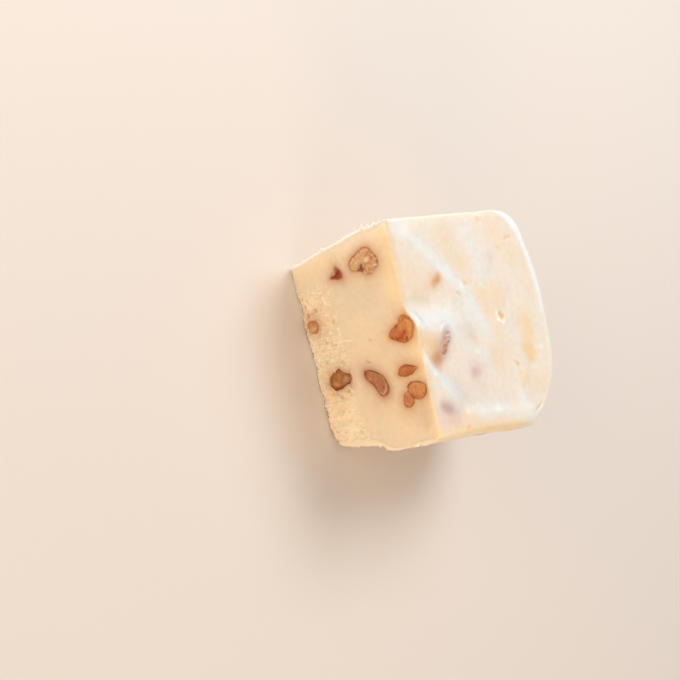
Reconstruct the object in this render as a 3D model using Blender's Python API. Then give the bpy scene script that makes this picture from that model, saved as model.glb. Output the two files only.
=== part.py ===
"""Nut fudge: one hand-cut block of white pecan fudge, lying on its crumbly underside.

Metres, +Z up. The origin is under the middle of the block, on the surface it lies on.
-Y is the knife-cut face with the cut pecans, -X and +X are the other cut ends, +Y is
the rounded outer side of the slab and +Z is its glossy, wavy top.
"""

import math

import bmesh
import bpy
import numpy as np

MM = 0.001

# The block. A skew is how far a wall drifts for each metre along it.
HEIGHT = 35.3 * MM
CUT_FACE_Y = -29.9 * MM
CUT_FACE_SKEW = 0.045
CUT_FACE_TWIST = 0.35
LEFT_FOOT_X = -24.3 * MM
LEFT_OVERHANG = 7.7 * MM
LEFT_EASING = 0.1
LEFT_SKEW = 0.08
RIGHT_FOOT_X = 25.4 * MM
RIGHT_SHOULDER = 2.6 * MM
SHOULDER_RISE = (13.0 * MM, 21.0 * MM)
SHOULDER_TUCK = 0.4
TUCK_RISE = (26.0 * MM, 36.0 * MM)
RIGHT_SKEW = 0.10
BACK_SHOULDER_Y = 10.6 * MM
BACK_BULGE = 20.5 * MM
BACK_ROUNDNESS = 2.45
BACK_SKEW = 1.6 * MM
BACK_LEAN = 4.0 * MM
BACK_LEAN_CURVE = 1.5

# The glossy top steps up from left to right, sharply at the cut face and ever more
# softly behind it, and it rolls over at the outer side and at the right end.
TOP_STEP = 1.3 * MM
STEP_X = -5.5 * MM
STEP_DRIFT = 0.25
STEP_WIDTH = 2.4 * MM
STEP_SOFTENING = 0.22
BACK_SWELL = 0.8 * MM
SWELL_Y = (-5.0 * MM, 20.0 * MM)
BACK_ROLL = 3.5 * MM
BACK_ROLL_ALONG = (-1.0, -0.6)
RIGHT_ROLL = 2.5 * MM
RIGHT_ROLL_AT_CUT_FACE = 0.5

# Waves of the top: from (x, y) to (x, y), half-width and height, all in mm.
TOP_WAVES = (
    ((-10.0, -32.0), (-8.0, -21.0), 3.0, -0.6),
    ((-3.2, -30.0), (0.0, -19.0), 3.2, 1.1),
    ((6.0, -29.0), (17.0, -23.0), 2.6, 0.6),
    ((-26.0, -23.0), (-10.0, -8.0), 3.0, 0.6),
    ((-3.0, -13.0), (7.0, -1.0), 3.0, 0.5),
    ((25.0, -15.0), (29.0, 9.0), 2.6, 0.6),
    ((5.0, 15.0), (15.0, 18.0), 3.6, -0.7),
)

# The porous, crumbly underside of the slab, which shows as a band round the foot.
BAND_HEIGHT = 12.5 * MM
BAND_FULL_SHARE = 0.7
BAND_CRUMB = 3.0 * MM
BAND_DEPTH = 0.9 * MM
PIT_SHARE = 0.35
SMOOTH_CORNER_X = (-17.0 * MM, -13.0 * MM)
# The right lower corner of the cut face is chipped: how much in height, and how far.
CHIP_HEIGHT = 2.4 * MM
CHIP_REACH = 5.0 * MM
NOISE_SEED = 20
NOISE_SIDE = 32

# Cells along x, y and z, and how much denser they are half-way back and at the foot.
CELLS = (28, 26, 20)
MIDDLE_DENSITY = 0.35
FOOT_DENSITY = 1.2
FITTING_PASSES = 3
ON_A_WALL = 0.999

# Cut pecans: the middle of the section on its face (across, up), its length and width,
# how deep the piece goes in, and its turn in degrees, in mm. Taper makes one end fatter,
# bend curves the long axis, and each notch is (angle, depth, spread) round the rim.
CUT_FACE_PECANS = (
    {"at": (-22.0, 25.4), "size": (9.9, 7.3, 3.6), "turn": 94, "taper": 0.26, "bend": 0.2,
     "notches": ((248, 0.28, 17),)},
    {"at": (-20.2, 15.2), "size": (5.0, 3.3, 2.2), "turn": -66, "taper": -0.55, "bend": 0.3,
     "notches": ()},
    {"at": (-3.1, 31.4), "size": (10.4, 6.6, 4.0), "turn": 103, "taper": 0.5, "bend": -0.2,
     "notches": ((62, 0.10, 16), (128, 0.08, 14))},
    {"at": (7.6, 31.1), "size": (7.0, 3.1, 2.6), "turn": 96, "taper": -0.4, "bend": 0.0,
     "notches": ()},
    {"at": (14.1, 31.6), "size": (9.8, 4.9, 3.0), "turn": 118, "taper": 0.1, "bend": 0.0,
     "notches": ((252, 0.42, 17), (112, 0.26, 16))},
    {"at": (9.7, 20.0), "size": (8.9, 3.9, 2.8), "turn": 38, "taper": 0.1, "bend": 0.75,
     "notches": ()},
    {"at": (7.4, 7.9), "size": (8.2, 5.4, 3.4), "turn": 104, "taper": -0.12, "bend": -0.1,
     "notches": ((25, 0.12, 14), (150, 0.08, 14))},
    {"at": (-7.6, 3.0), "size": (4.0, 3.6, 2.4), "turn": 60, "taper": 0.1, "bend": 0.2,
     "notches": ()},
)
RIGHT_END_PECANS = (
    {"at": (-16.0, 22.0), "size": (8.6, 5.0, 3.2), "turn": 70, "taper": 0.3, "bend": 0.4,
     "notches": ((250, 0.25, 18),)},
    {"at": (-4.0, 12.5), "size": (7.4, 3.8, 2.6), "turn": 20, "taper": 0.1, "bend": 0.6,
     "notches": ()},
    {"at": (2.0, 25.5), "size": (6.2, 4.2, 2.8), "turn": 130, "taper": -0.2, "bend": 0.2,
     "notches": ((60, 0.15, 16),)},
)
LEFT_END_PECANS = (
    {"at": (-18.0, 12.0), "size": (7.8, 4.6, 3.0), "turn": 50, "taper": 0.2, "bend": 0.5,
     "notches": ((240, 0.2, 18),)},
    {"at": (-6.0, 24.5), "size": (9.4, 5.2, 3.4), "turn": 110, "taper": 0.35, "bend": 0.3,
     "notches": ((255, 0.3, 18),)},
    {"at": (1.5, 9.5), "size": (5.4, 3.6, 2.4), "turn": 10, "taper": -0.2, "bend": 0.2,
     "notches": ()},
)
TOP_PECANS = (
    {"at": (2.9, -17.4), "size": (7.6, 2.9, 2.2), "turn": -38, "taper": -0.15, "bend": 0.2,
     "notches": ((80, 0.12, 14), (285, 0.12, 14))},
)
PECAN_SEGMENTS = 16
PECAN_RINGS = 8
CLEARANCE = 0.3 * MM
CUTTER_REACH = 1.6 * MM
FLUSH_DOME = 0.06 * MM
TOP_PECAN_DOME = 0.7 * MM
POLE_REACH = 1e-6

FUDGE_COLOUR = (0.86, 0.69, 0.49, 1.0)
FUDGE_ROUGHNESS = 0.5
PECAN_COLOUR = (0.45, 0.19, 0.08, 1.0)
PECAN_ROUGHNESS = 0.6
SHARP_ANGLE = 40.0


def smooth_step(low, high, value):
    """0 below low, 1 above high and an S-curve between them."""
    t = np.clip((value - low) / (high - low), 0.0, 1.0)
    return t * t * (3.0 - 2.0 * t)


def make_noise(seed):
    """Value noise: random heights from -1 to 1 at whole-number points, blended smoothly."""
    heights = np.random.default_rng(seed).random((NOISE_SIDE,) * 3) * 2.0 - 1.0

    def noise(points):
        cell = np.floor(points).astype(int)
        part = points - cell
        part = part * part * (3.0 - 2.0 * part)
        total = np.zeros(len(points))
        for corner in np.ndindex(2, 2, 2):
            share = np.prod(np.where(np.array(corner) == 1, part, 1.0 - part), axis=1)
            i, j, k = ((cell + corner) % NOISE_SIDE).T
            total += share * heights[i, j, k]
        return total

    return noise


def cut_face_y(x, z):
    """The knife-cut face: a little out of square with the block, less so at the top."""
    return CUT_FACE_Y + CUT_FACE_SKEW * x * (1.0 - CUT_FACE_TWIST * z / HEIGHT)


def left_end_x(y, z):
    """The left end leans out, a little less towards the top."""
    rise = np.clip(z / HEIGHT, 0.0, 1.0)
    lean = (1.0 + LEFT_EASING) * rise - LEFT_EASING * rise**3
    return LEFT_FOOT_X - LEFT_OVERHANG * lean + LEFT_SKEW * (y - CUT_FACE_Y)


def right_end_x(y, z):
    """The right end steps out at half height and pulls in again under the top."""
    shoulder = smooth_step(*SHOULDER_RISE, z) - SHOULDER_TUCK * smooth_step(*TUCK_RISE, z)
    return RIGHT_FOOT_X + RIGHT_SHOULDER * shoulder + RIGHT_SKEW * (y - CUT_FACE_Y)


def outer_side_y(along, z):
    """The outer side bulges as a superellipse of along, which runs from -1 to 1."""
    roundness = (1.0 - np.abs(along) ** BACK_ROUNDNESS) ** (1.0 / BACK_ROUNDNESS)
    lean = BACK_LEAN * (1.0 - np.clip(z / HEIGHT, 0.0, 1.0)) ** BACK_LEAN_CURVE
    return BACK_SHOULDER_Y - BACK_SKEW * along + (BACK_BULGE - lean) * roundness


def wave(x, y, start, end, width, height):
    """A long low hump: a bell curve of the distance to the line from start to end."""
    ax, ay = start[0] * MM, start[1] * MM
    dx, dy = end[0] * MM - ax, end[1] * MM - ay
    t = np.clip(((x - ax) * dx + (y - ay) * dy) / (dx * dx + dy * dy), 0.0, 1.0)
    gap = np.hypot(x - ax - t * dx, y - ay - t * dy)
    return height * MM * np.exp(-((gap / (width * MM)) ** 2))


def top_z(x, y):
    """The glossy top: a step up to the right that softens behind the cut face, and waves."""
    behind = np.clip(y - CUT_FACE_Y, 0.0, None)
    past_step = x - STEP_X - STEP_DRIFT * behind
    z = HEIGHT + 0.5 * TOP_STEP * (1.0 + np.tanh(past_step / (STEP_WIDTH + STEP_SOFTENING * behind)))
    z = z + BACK_SWELL * smooth_step(*SWELL_Y, y)
    for start, end, width, height in TOP_WAVES:
        z = z + wave(x, y, start, end, width, height)
    return z


def roll_drop(distance, radius):
    """How far a rounded edge lies below the flat, at a distance inside the wall."""
    inside = np.clip(radius - distance, 0.0, radius)
    return radius - np.sqrt(radius**2 - inside**2)


def place_on_block(cube):
    """Moves the points of a cube from -1 to 1 to the block's own surface."""
    u, v, w = cube.T
    v = v - MIDDLE_DENSITY * np.sin(math.pi * v) / math.pi
    spread = 0.5 * (v + 1.0)
    u = (1.0 - spread) * u + spread * np.sin(0.5 * math.pi * u)
    z = HEIGHT * (0.5 * (w + 1.0)) ** FOOT_DENSITY
    y = np.full_like(z, CUT_FACE_Y)
    x = np.zeros_like(z)
    for _ in range(FITTING_PASSES):
        left, right = left_end_x(y, z), right_end_x(y, z)
        x = left + (right - left) * 0.5 * (u + 1.0)
        front, back = cut_face_y(x, z), outer_side_y(u, z)
        y = front + (back - front) * spread
    back_radius = BACK_ROLL * smooth_step(*BACK_ROLL_ALONG, u)
    rounding = RIGHT_ROLL_AT_CUT_FACE + (1.0 - RIGHT_ROLL_AT_CUT_FACE) * smooth_step(CUT_FACE_Y, 0.0, y)
    right_radius = RIGHT_ROLL * rounding
    drop = np.maximum(roll_drop(back - y, back_radius), roll_drop(right - x, right_radius))
    z = z / HEIGHT * (top_z(x, y) - drop)
    return np.column_stack((x, y, z))


def crumble(points, cube, noise):
    """Pits and crags round the foot, on the walls only, and the chipped lower corner."""
    x, _, z = points.T
    band = 1.0 - smooth_step(BAND_FULL_SHARE * BAND_HEIGHT, BAND_HEIGHT, z)
    on_cut_face = cube[:, 1] < -ON_A_WALL
    band[on_cut_face] *= smooth_step(*SMOOTH_CORNER_X, x[on_cut_face])
    depth = BAND_DEPTH * band * (noise(points / BAND_CRUMB) - PIT_SHARE)
    for axis in (0, 1):
        wall = np.abs(cube[:, axis]) > ON_A_WALL
        points[wall, axis] += np.sign(cube[wall, axis]) * depth[wall]
    away = np.hypot(points[:, 0] - RIGHT_FOOT_X, points[:, 1] - CUT_FACE_Y) / CHIP_REACH
    chip = CHIP_HEIGHT * np.clip(1.0 - away, 0.0, 1.0)
    points[:, 2] += chip * (1.0 - smooth_step(0.0, BAND_HEIGHT, points[:, 2]))
    return points


def new_object(name, bm, points, collection, material):
    """A named mesh object from bm, its points moved to the given ones."""
    for vert, point in zip(bm.verts, points):
        vert.co = point
    bmesh.ops.triangulate(bm, faces=bm.faces)
    bmesh.ops.recalc_face_normals(bm, faces=bm.faces)
    mesh = bpy.data.meshes.new(name)
    bm.to_mesh(mesh)
    bm.free()
    mesh.shade_smooth()
    mesh.set_sharp_from_angle(angle=math.radians(SHARP_ANGLE))
    mesh.materials.append(material)
    obj = bpy.data.objects.new(name, mesh)
    collection.objects.link(obj)
    return obj


def point_array(bm):
    return np.array([vert.co for vert in bm.verts])


def make_block(collection, material):
    """A cube, cut into cells along each axis, then moved to the block's surface."""
    bm = bmesh.new()
    bmesh.ops.create_cube(bm, size=2.0)
    for axis, cells in enumerate(CELLS):
        along = [e for e in bm.edges if abs(e.verts[0].co[axis] - e.verts[1].co[axis]) > 1.0]
        bmesh.ops.subdivide_edges(bm, edges=along, cuts=cells - 1, use_grid_fill=True)
    cube = point_array(bm)
    points = crumble(place_on_block(cube), cube, make_noise(NOISE_SEED))
    return new_object("fudge_block", bm, points, collection, material)


def section_rim(pecan, cos, sin, extra):
    """The rim of a pecan's section: an ellipse with a fat end, a bend and notches."""
    length, width, _ = pecan["size"]
    along = (0.5 * length * MM + extra) * cos
    across = (0.5 * width * MM + extra) * sin * (1.0 + pecan["taper"] * cos)
    across = across + pecan["bend"] * MM * (sin * sin - 0.5)
    degrees = np.degrees(np.arctan2(sin, cos))
    scale = np.ones_like(cos)
    for angle, depth, spread in pecan["notches"]:
        turn = (degrees - angle + 180.0) % 360.0 - 180.0
        scale = scale - depth * np.exp(-((turn / spread) ** 2))
    turn = math.radians(pecan["turn"])
    along, across = along * scale, across * scale
    return (
        pecan["at"][0] * MM + along * math.cos(turn) - across * math.sin(turn),
        pecan["at"][1] * MM + along * math.sin(turn) + across * math.cos(turn),
    )


def pecan_points(sphere, pecan, place, extra, dome):
    """A ball whose rim is the section: its inner half is a bowl, its outer half low."""
    sx, sy, sz = sphere.T
    reach = np.hypot(sx, sy)
    at_pole = reach < POLE_REACH
    safe = np.where(at_pole, 1.0, reach)
    cos, sin = np.where(at_pole, 1.0, sx / safe), sy / safe
    rim_p, rim_q = section_rim(pecan, cos, sin, extra)
    middle_p, middle_q = pecan["at"][0] * MM, pecan["at"][1] * MM
    p = middle_p + (rim_p - middle_p) * reach
    q = middle_q + (rim_q - middle_q) * reach
    inner = pecan["size"][2] * MM + extra
    depth = np.where(sz < 0.0, -sz * inner, -sz * dome)
    return place(p, q, depth)


def on_cut_face(p, q, depth):
    return np.column_stack((p, cut_face_y(p, q) + depth, q))


def on_right_end(p, q, depth):
    return np.column_stack((right_end_x(p, q) - depth, p, q))


def on_left_end(p, q, depth):
    return np.column_stack((left_end_x(p, q) + depth, p, q))


def on_top(p, q, depth):
    return np.column_stack((p, q, top_z(p, q) - depth))


def make_pecan(name, pecan, place, dome, collections, materials):
    """One cut pecan piece, and the cutter that opens its place in the block."""
    bm = bmesh.new()
    bmesh.ops.create_uvsphere(
        bm, u_segments=PECAN_SEGMENTS, v_segments=PECAN_RINGS, radius=1.0
    )
    sphere = point_array(bm)
    cutter_bm = bm.copy()
    parts, cutters = collections
    piece = pecan_points(sphere, pecan, place, 0.0, dome)
    new_object(name, bm, piece, parts, materials["pecan"])
    room = pecan_points(sphere, pecan, place, CLEARANCE, CUTTER_REACH + dome)
    cutter = new_object(name + "_cutter", cutter_bm, room, cutters, materials["pecan"])
    cutter.hide_render = True
    cutter.display_type = "WIRE"


def make_collection(name):
    collection = bpy.data.collections.new(name)
    bpy.context.scene.collection.children.link(collection)
    return collection


def make_material(name, colour, roughness):
    material = bpy.data.materials.new(name)
    material.use_nodes = True
    shader = material.node_tree.nodes["Principled BSDF"]
    shader.inputs["Base Color"].default_value = colour
    shader.inputs["Roughness"].default_value = roughness
    shader.inputs["Metallic"].default_value = 0.0
    material.diffuse_color = colour
    return material


def main():
    for obj in list(bpy.data.objects):
        bpy.data.objects.remove(obj, do_unlink=True)
    parts, cutters = make_collection("nut_fudge"), make_collection("cutters")
    materials = {
        "fudge": make_material("fudge", FUDGE_COLOUR, FUDGE_ROUGHNESS),
        "pecan": make_material("pecan", PECAN_COLOUR, PECAN_ROUGHNESS),
    }
    block = make_block(parts, materials["fudge"])
    groups = (
        (CUT_FACE_PECANS, on_cut_face, FLUSH_DOME),
        (TOP_PECANS, on_top, TOP_PECAN_DOME),
        (RIGHT_END_PECANS, on_right_end, FLUSH_DOME),
        (LEFT_END_PECANS, on_left_end, FLUSH_DOME),
    )
    number = 0
    for pecans, place, dome in groups:
        for pecan in pecans:
            number += 1
            make_pecan(f"pecan_{number:02d}", pecan, place, dome, (parts, cutters), materials)
    cut = block.modifiers.new("pecan places", "BOOLEAN")
    cut.operation = "DIFFERENCE"
    cut.operand_type = "COLLECTION"
    cut.collection = cutters
    cut.solver = "EXACT"


main()
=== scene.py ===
"""Nut fudge: the look of one hand-cut block of white pecan fudge, lying on a pale floor.

Sizes are in millimetres until a mesh is made. +Z is the glossy top, -Y the knife-cut face with
the cut pecans, -X and +X the two ends and +Y the rounded outer side of the slab.
"""

import math

import bmesh
import bpy
import numpy as np
from mathutils import Matrix, Vector


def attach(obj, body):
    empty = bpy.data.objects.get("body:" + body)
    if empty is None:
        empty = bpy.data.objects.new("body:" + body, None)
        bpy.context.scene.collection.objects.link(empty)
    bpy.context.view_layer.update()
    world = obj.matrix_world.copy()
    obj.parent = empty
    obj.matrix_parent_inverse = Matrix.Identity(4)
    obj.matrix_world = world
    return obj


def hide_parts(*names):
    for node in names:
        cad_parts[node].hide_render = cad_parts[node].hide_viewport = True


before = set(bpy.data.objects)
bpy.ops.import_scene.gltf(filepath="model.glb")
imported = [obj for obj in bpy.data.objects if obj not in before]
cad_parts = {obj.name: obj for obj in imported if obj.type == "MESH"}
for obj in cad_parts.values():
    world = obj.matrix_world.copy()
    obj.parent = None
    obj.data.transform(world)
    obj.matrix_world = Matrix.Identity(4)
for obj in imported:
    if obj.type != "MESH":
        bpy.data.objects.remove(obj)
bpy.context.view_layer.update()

# ------------------------------------------------------------------ the shape of the block
# White chocolate and condensed milk, poured as a slab, left to set and cut by hand. Its top is flat
# with a low step and waves, its ends lean, its outer side bulges, and its edges are pressed round.
MM = 0.001

HEIGHT = 35.3
CUT_FACE_Y, CUT_FACE_SKEW, CUT_FACE_TWIST = -29.9, 0.045, 0.35
LEFT_FOOT_X, LEFT_OVERHANG, LEFT_EASING, LEFT_SKEW = -24.3, 7.7, 0.1, 0.08
RIGHT_FOOT_X, RIGHT_SHOULDER, RIGHT_SKEW = 25.4, 2.6, 0.10
SHOULDER_RISE, TUCK_RISE, SHOULDER_TUCK = (13.0, 21.0), (26.0, 36.0), 0.4
BACK_SHOULDER_Y, BACK_BULGE, BACK_ROUNDNESS, BACK_SKEW = 10.6, 20.5, 2.45, 1.6
BACK_LEAN, BACK_LEAN_CURVE = 4.0, 1.5
TOP_STEP, STEP_X, STEP_DRIFT, STEP_WIDTH, STEP_SOFTENING = 1.3, -5.5, 0.25, 2.4, 0.22
BACK_SWELL, SWELL_Y = 0.8, (-5.0, 20.0)
BACK_ROLL, BACK_ROLL_ALONG = 3.5, (-1.0, -0.6)
RIGHT_ROLL, RIGHT_ROLL_AT_CUT_FACE = 2.5, 0.5
EDGE_RADIUS, EDGE_UNEVENNESS, EDGE_GRAIN = 0.95, 0.45, 4.0

# Waves of the poured top: from (x, y) to (x, y), half-width and height.
TOP_WAVES = (
    ((-10.0, -32.0), (-8.0, -21.0), 3.0, -0.6),
    ((-3.2, -30.0), (0.0, -19.0), 3.2, 1.1),
    ((6.0, -29.0), (17.0, -23.0), 2.6, 0.6),
    ((-26.0, -23.0), (-10.0, -8.0), 3.0, 0.6),
    ((-3.0, -13.0), (7.0, -1.0), 3.0, 0.5),
    ((25.0, -15.0), (29.0, 9.0), 2.6, 0.6),
    ((5.0, 15.0), (15.0, 18.0), 3.6, -0.7),
)
NOISE_SIDE = 32
CRAG_SEED, FINE_SEED = 20, 21


def smooth_step(low, high, value):
    """0 below low, 1 above high and an S-curve between them."""
    t = np.clip((value - low) / (high - low), 0.0, 1.0)
    return t * t * (3.0 - 2.0 * t)


def value_noise(seed):
    """Random heights from -1 to 1 at whole-number points of space, blended by S-curves."""
    heights = np.random.default_rng(seed).random((NOISE_SIDE,) * 3) * 2.0 - 1.0

    def noise(points):
        cell = np.floor(points).astype(int)
        part = points - cell
        part = part * part * (3.0 - 2.0 * part)
        total = 0.0
        for corner in np.ndindex(2, 2, 2):
            share = np.prod(np.where(np.array(corner) == 1, part, 1.0 - part), axis=-1)
            i, j, k = np.moveaxis((cell + corner) % NOISE_SIDE, -1, 0)
            total = total + share * heights[i, j, k]
        return total

    return noise


crag_noise = value_noise(CRAG_SEED)
fine_noise = value_noise(FINE_SEED)


def cut_face_y(x, z):
    """The knife-cut face: a little out of square with the block, less so at the top."""
    return CUT_FACE_Y + CUT_FACE_SKEW * x * (1.0 - CUT_FACE_TWIST * z / HEIGHT)


def left_end_x(y, z):
    """The left end leans out, a little less towards the top."""
    rise = np.clip(z / HEIGHT, 0.0, 1.0)
    lean = (1.0 + LEFT_EASING) * rise - LEFT_EASING * rise**3
    return LEFT_FOOT_X - LEFT_OVERHANG * lean + LEFT_SKEW * (y - CUT_FACE_Y)


def right_end_x(y, z):
    """The right end steps out at half height and pulls in again under the top."""
    shoulder = smooth_step(*SHOULDER_RISE, z) - SHOULDER_TUCK * smooth_step(*TUCK_RISE, z)
    return RIGHT_FOOT_X + RIGHT_SHOULDER * shoulder + RIGHT_SKEW * (y - CUT_FACE_Y)


def outer_side_y(along, z):
    """The outer side bulges as a superellipse of along, which runs from -1 to 1."""
    roundness = (1.0 - np.abs(along) ** BACK_ROUNDNESS) ** (1.0 / BACK_ROUNDNESS)
    lean = BACK_LEAN * (1.0 - np.clip(z / HEIGHT, 0.0, 1.0)) ** BACK_LEAN_CURVE
    return BACK_SHOULDER_Y - BACK_SKEW * along + (BACK_BULGE - lean) * roundness


def line_gap(x, y, start, end):
    """The distance to the line from start to end."""
    dx, dy = end[0] - start[0], end[1] - start[1]
    t = np.clip(((x - start[0]) * dx + (y - start[1]) * dy) / max(dx * dx + dy * dy, 1e-9), 0.0, 1.0)
    return np.hypot(x - start[0] - t * dx, y - start[1] - t * dy)


def wave(x, y, start, end, width, height):
    """A long low hump: a bell curve of the distance to the line from start to end."""
    return height * np.exp(-((line_gap(x, y, start, end) / width) ** 2))


def top_z(x, y):
    """The glossy top: a step up to the right that softens behind the cut face, and waves."""
    behind = np.clip(y - CUT_FACE_Y, 0.0, None)
    past_step = x - STEP_X - STEP_DRIFT * behind
    z = HEIGHT + 0.5 * TOP_STEP * (1.0 + np.tanh(past_step / (STEP_WIDTH + STEP_SOFTENING * behind)))
    z = z + BACK_SWELL * smooth_step(*SWELL_Y, y)
    for ridge in TOP_WAVES:
        z = z + wave(x, y, *ridge)
    return z


def roll_drop(distance, radius):
    """How far a rounded edge lies below the flat, at a distance inside the wall."""
    inside = np.clip(radius - distance, 0.0, radius)
    return radius - np.sqrt(radius**2 - inside**2)


def pressed_corners(gaps, radius):
    """How far each axis moves inwards where a square corner is pressed round.

    Gaps are the distances to the three walls. With a, b, c the shares of the radius past its
    middle, a' = a * sqrt(1 - b²/2 - c²/2 + b²c²/3), which turns a cube into a ball."""
    past = np.clip(1.0 - gaps / radius[..., None], 0.0, 1.0)
    a, b, c = np.moveaxis(past**2, -1, 0)
    keep = np.sqrt(np.stack((
        1.0 - b / 2.0 - c / 2.0 + b * c / 3.0,
        1.0 - a / 2.0 - c / 2.0 + a * c / 3.0,
        1.0 - a / 2.0 - b / 2.0 + a * b / 3.0,
    ), axis=-1))
    return radius[..., None] * past * (1.0 - keep)


def edge_radius(points):
    """The radius of the cut edges, which the knife left uneven."""
    return EDGE_RADIUS * (1.0 + EDGE_UNEVENNESS * fine_noise(points / EDGE_GRAIN))


def block_surface(across, behind, rise):
    """Points of the block from across (-1 left, 1 right), behind (0 cut face, 1 outer side), rise (0 to 1).

    A point lies between the two ends and between the cut face and the outer side by its shares, and
    as each wall depends on the others it is found in three rounds. Its height is its share of the
    top's, less the roll of the edges, and its corners are pressed round."""
    along = (1.0 - behind) * across + behind * np.sin(0.5 * math.pi * across)
    z = HEIGHT * rise
    y = np.full_like(z, CUT_FACE_Y)
    for _ in range(3):
        left, right = left_end_x(y, z), right_end_x(y, z)
        x = left + (right - left) * 0.5 * (along + 1.0)
        front, back = cut_face_y(x, z), outer_side_y(along, z)
        y = front + (back - front) * behind
    back_radius = BACK_ROLL * smooth_step(*BACK_ROLL_ALONG, along)
    rounding = RIGHT_ROLL_AT_CUT_FACE + (1.0 - RIGHT_ROLL_AT_CUT_FACE) * smooth_step(CUT_FACE_Y, 0.0, y)
    drop = np.maximum(roll_drop(back - y, back_radius), roll_drop(right - x, RIGHT_ROLL * rounding))
    height = top_z(x, y) - drop
    points = np.stack((x, y, rise * height), axis=-1)
    gaps = np.stack((np.minimum(x - left, right - x), y - front, (1.0 - rise) * height), axis=-1)
    inward = pressed_corners(gaps, edge_radius(points))
    inward[..., 0] *= np.where(x - left < right - x, 1.0, -1.0)
    inward[..., 2] *= -1.0
    return points + inward


# Layers of fine noise, each with its grain and height: in a face that the knife cut, and in the top.
KNIFE_WAVES = ((5.0, 0.05), (1.4, 0.015))
TOP_RIPPLES = ((5.5, 0.13), (2.2, 0.05))


def layered_noise(points, layers):
    """Fine noise of several grains, each times its height, added up."""
    return sum(height * fine_noise(points / grain) for grain, height in layers)


def faint_waves(points):
    """The slight unevenness of a face that a knife went through."""
    return layered_noise(points, KNIFE_WAVES)


# Finer marks in the skin of the top, each as a wave: lips and crests, then dents and pits.
TOP_MARKS = (
    ((-6.6, -28.8), (-4.8, -28.0), 0.35, 0.14),
    ((-4.8, -28.0), (-3.4, -29.4), 0.35, 0.14),
    ((-1.9, -16.6), (-1.6, -18.8), 0.35, 0.14),
    ((-1.6, -18.8), (-0.2, -20.6), 0.35, 0.14),
    ((4.5, -29.0), (10.2, -26.4), 1.1, 0.35),
    ((10.2, -26.4), (17.4, -19.7), 1.1, 0.30),
    ((23.0, -14.8), (24.9, -2.1), 1.6, 0.35),
    ((24.9, -2.1), (27.5, 13.0), 1.6, 0.40),
    ((16.4, 12.8), (20.0, 10.4), 1.2, 0.28),
    ((-10.7, -5.5), (-7.3, -3.6), 0.5, 0.30),
    ((-1.0, 6.8), (1.6, 7.0), 0.4, 0.22),
    ((1.6, 7.0), (2.6, 9.0), 0.4, 0.20),
    ((-9.3, 3.2), (-7.6, 4.4), 0.4, 0.22),
    ((1.4, -10.5), (6.0, -5.5), 1.5, -0.35),
    ((14.8, 10.7), (24.7, 11.1), 0.8, -0.25),
    ((27.9, 13.6), (27.3, 16.8), 0.6, -0.35),
    ((0.2, 8.5), (0.9, 9.0), 0.8, -0.55),
    ((-10.6, -3.4), (-10.2, -3.0), 0.5, -0.30),
    ((-8.6, -8.1), (-7.2, -6.0), 0.5, -0.30),
    ((14.2, 10.2), (14.6, 10.6), 0.45, -0.25),
    ((-26.4, 7.8), (-25.9, 8.2), 0.6, -0.28),
    ((-20.0, 20.6), (-19.8, 17.4), 0.5, -0.25),
    ((-18.0, 13.0), (-17.0, 14.6), 0.45, -0.22),
)


def top_relief(x, y):
    """How far the top stands off its waves: ripples all over, and its finer marks."""
    flat = np.stack((x, y, np.full_like(x, HEIGHT)), axis=-1)
    relief = layered_noise(flat, TOP_RIPPLES)
    for mark in TOP_MARKS:
        relief = relief + wave(x, y, *mark)
    return relief


# ------------------------------------------------------------------ the pecans
# Toasted pecan halves were stirred in whole and chopped, and the knife went through them: brown flesh
# inside a thin, dark, bitter skin, flush with the fudge, which holds each piece in a pocket.
NUT_COLUMNS, OVAL_POINTS = 144, 24
FACE_ROWS, RIM_ROWS, BOWL_ROWS = 24, 12, 7
FACE_START, RIM_START, FLAT_RIM = 0.03, 0.7, 0.97
PROUD, TOP_PROUD, RIM_DIP, MARK_DEPTH = 0.12, 0.15, 0.45, 0.05
RIM_RAGGED, RIM_GRAIN, CUT_ROUGHNESS, CUT_GRAIN = 0.13, 0.75, 0.05, 0.8
FAR, NUT_NEIGHBOURHOOD = 99.0, 15.0
# The plane of the noise that nuts are coloured by, and shifts that let one noise serve as another.
NOISE_PLANE, NOISE_SHIFT, RIM_SHIFT = 5.0, 3.0, 9.0
# How the flesh turns from low to high, its mottle and specks, and how the skin frays and wears off.
FLESH_TURN, FLESH_DRIFT, FLESH_GRAIN = (-0.4, 0.4), 0.35, 2.0
FLESH_MOTTLE = ((0.4, 0.10), (1.2, 0.08))
SPECKS, SPECK_GRAIN, SPECK_RANGE = 0.6, 0.45, (0.35, 0.75)
SKIN_FRAYING, SKIN_GRAIN, SKIN_EDGE, SKIN_EDGE_GROWTH = 0.6, 0.9, 0.1, 0.35
SKIN_LEFT, SKIN_WEAR, WEAR_GRAIN, LEAST_SKIN = 0.78, 0.7, 2.2, 0.3

BITTER, UMBER, CHESTNUT = (0.20, 0.045, 0.016), (0.26, 0.070, 0.022), (0.40, 0.140, 0.055)
PINK_FLESH, ORANGE_FLESH, RING_SKIN = (0.74, 0.41, 0.235), (0.78, 0.36, 0.115), (0.34, 0.110, 0.045)
NUT_FUDGE = (0.88, 0.66, 0.42)
# How deep red, green and blue light go, as shares of a material's glow depth.
CREAM_GLOW, EVEN_GLOW = (1.0, 0.8, 0.62), (1.0, 1.0, 1.0)


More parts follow.
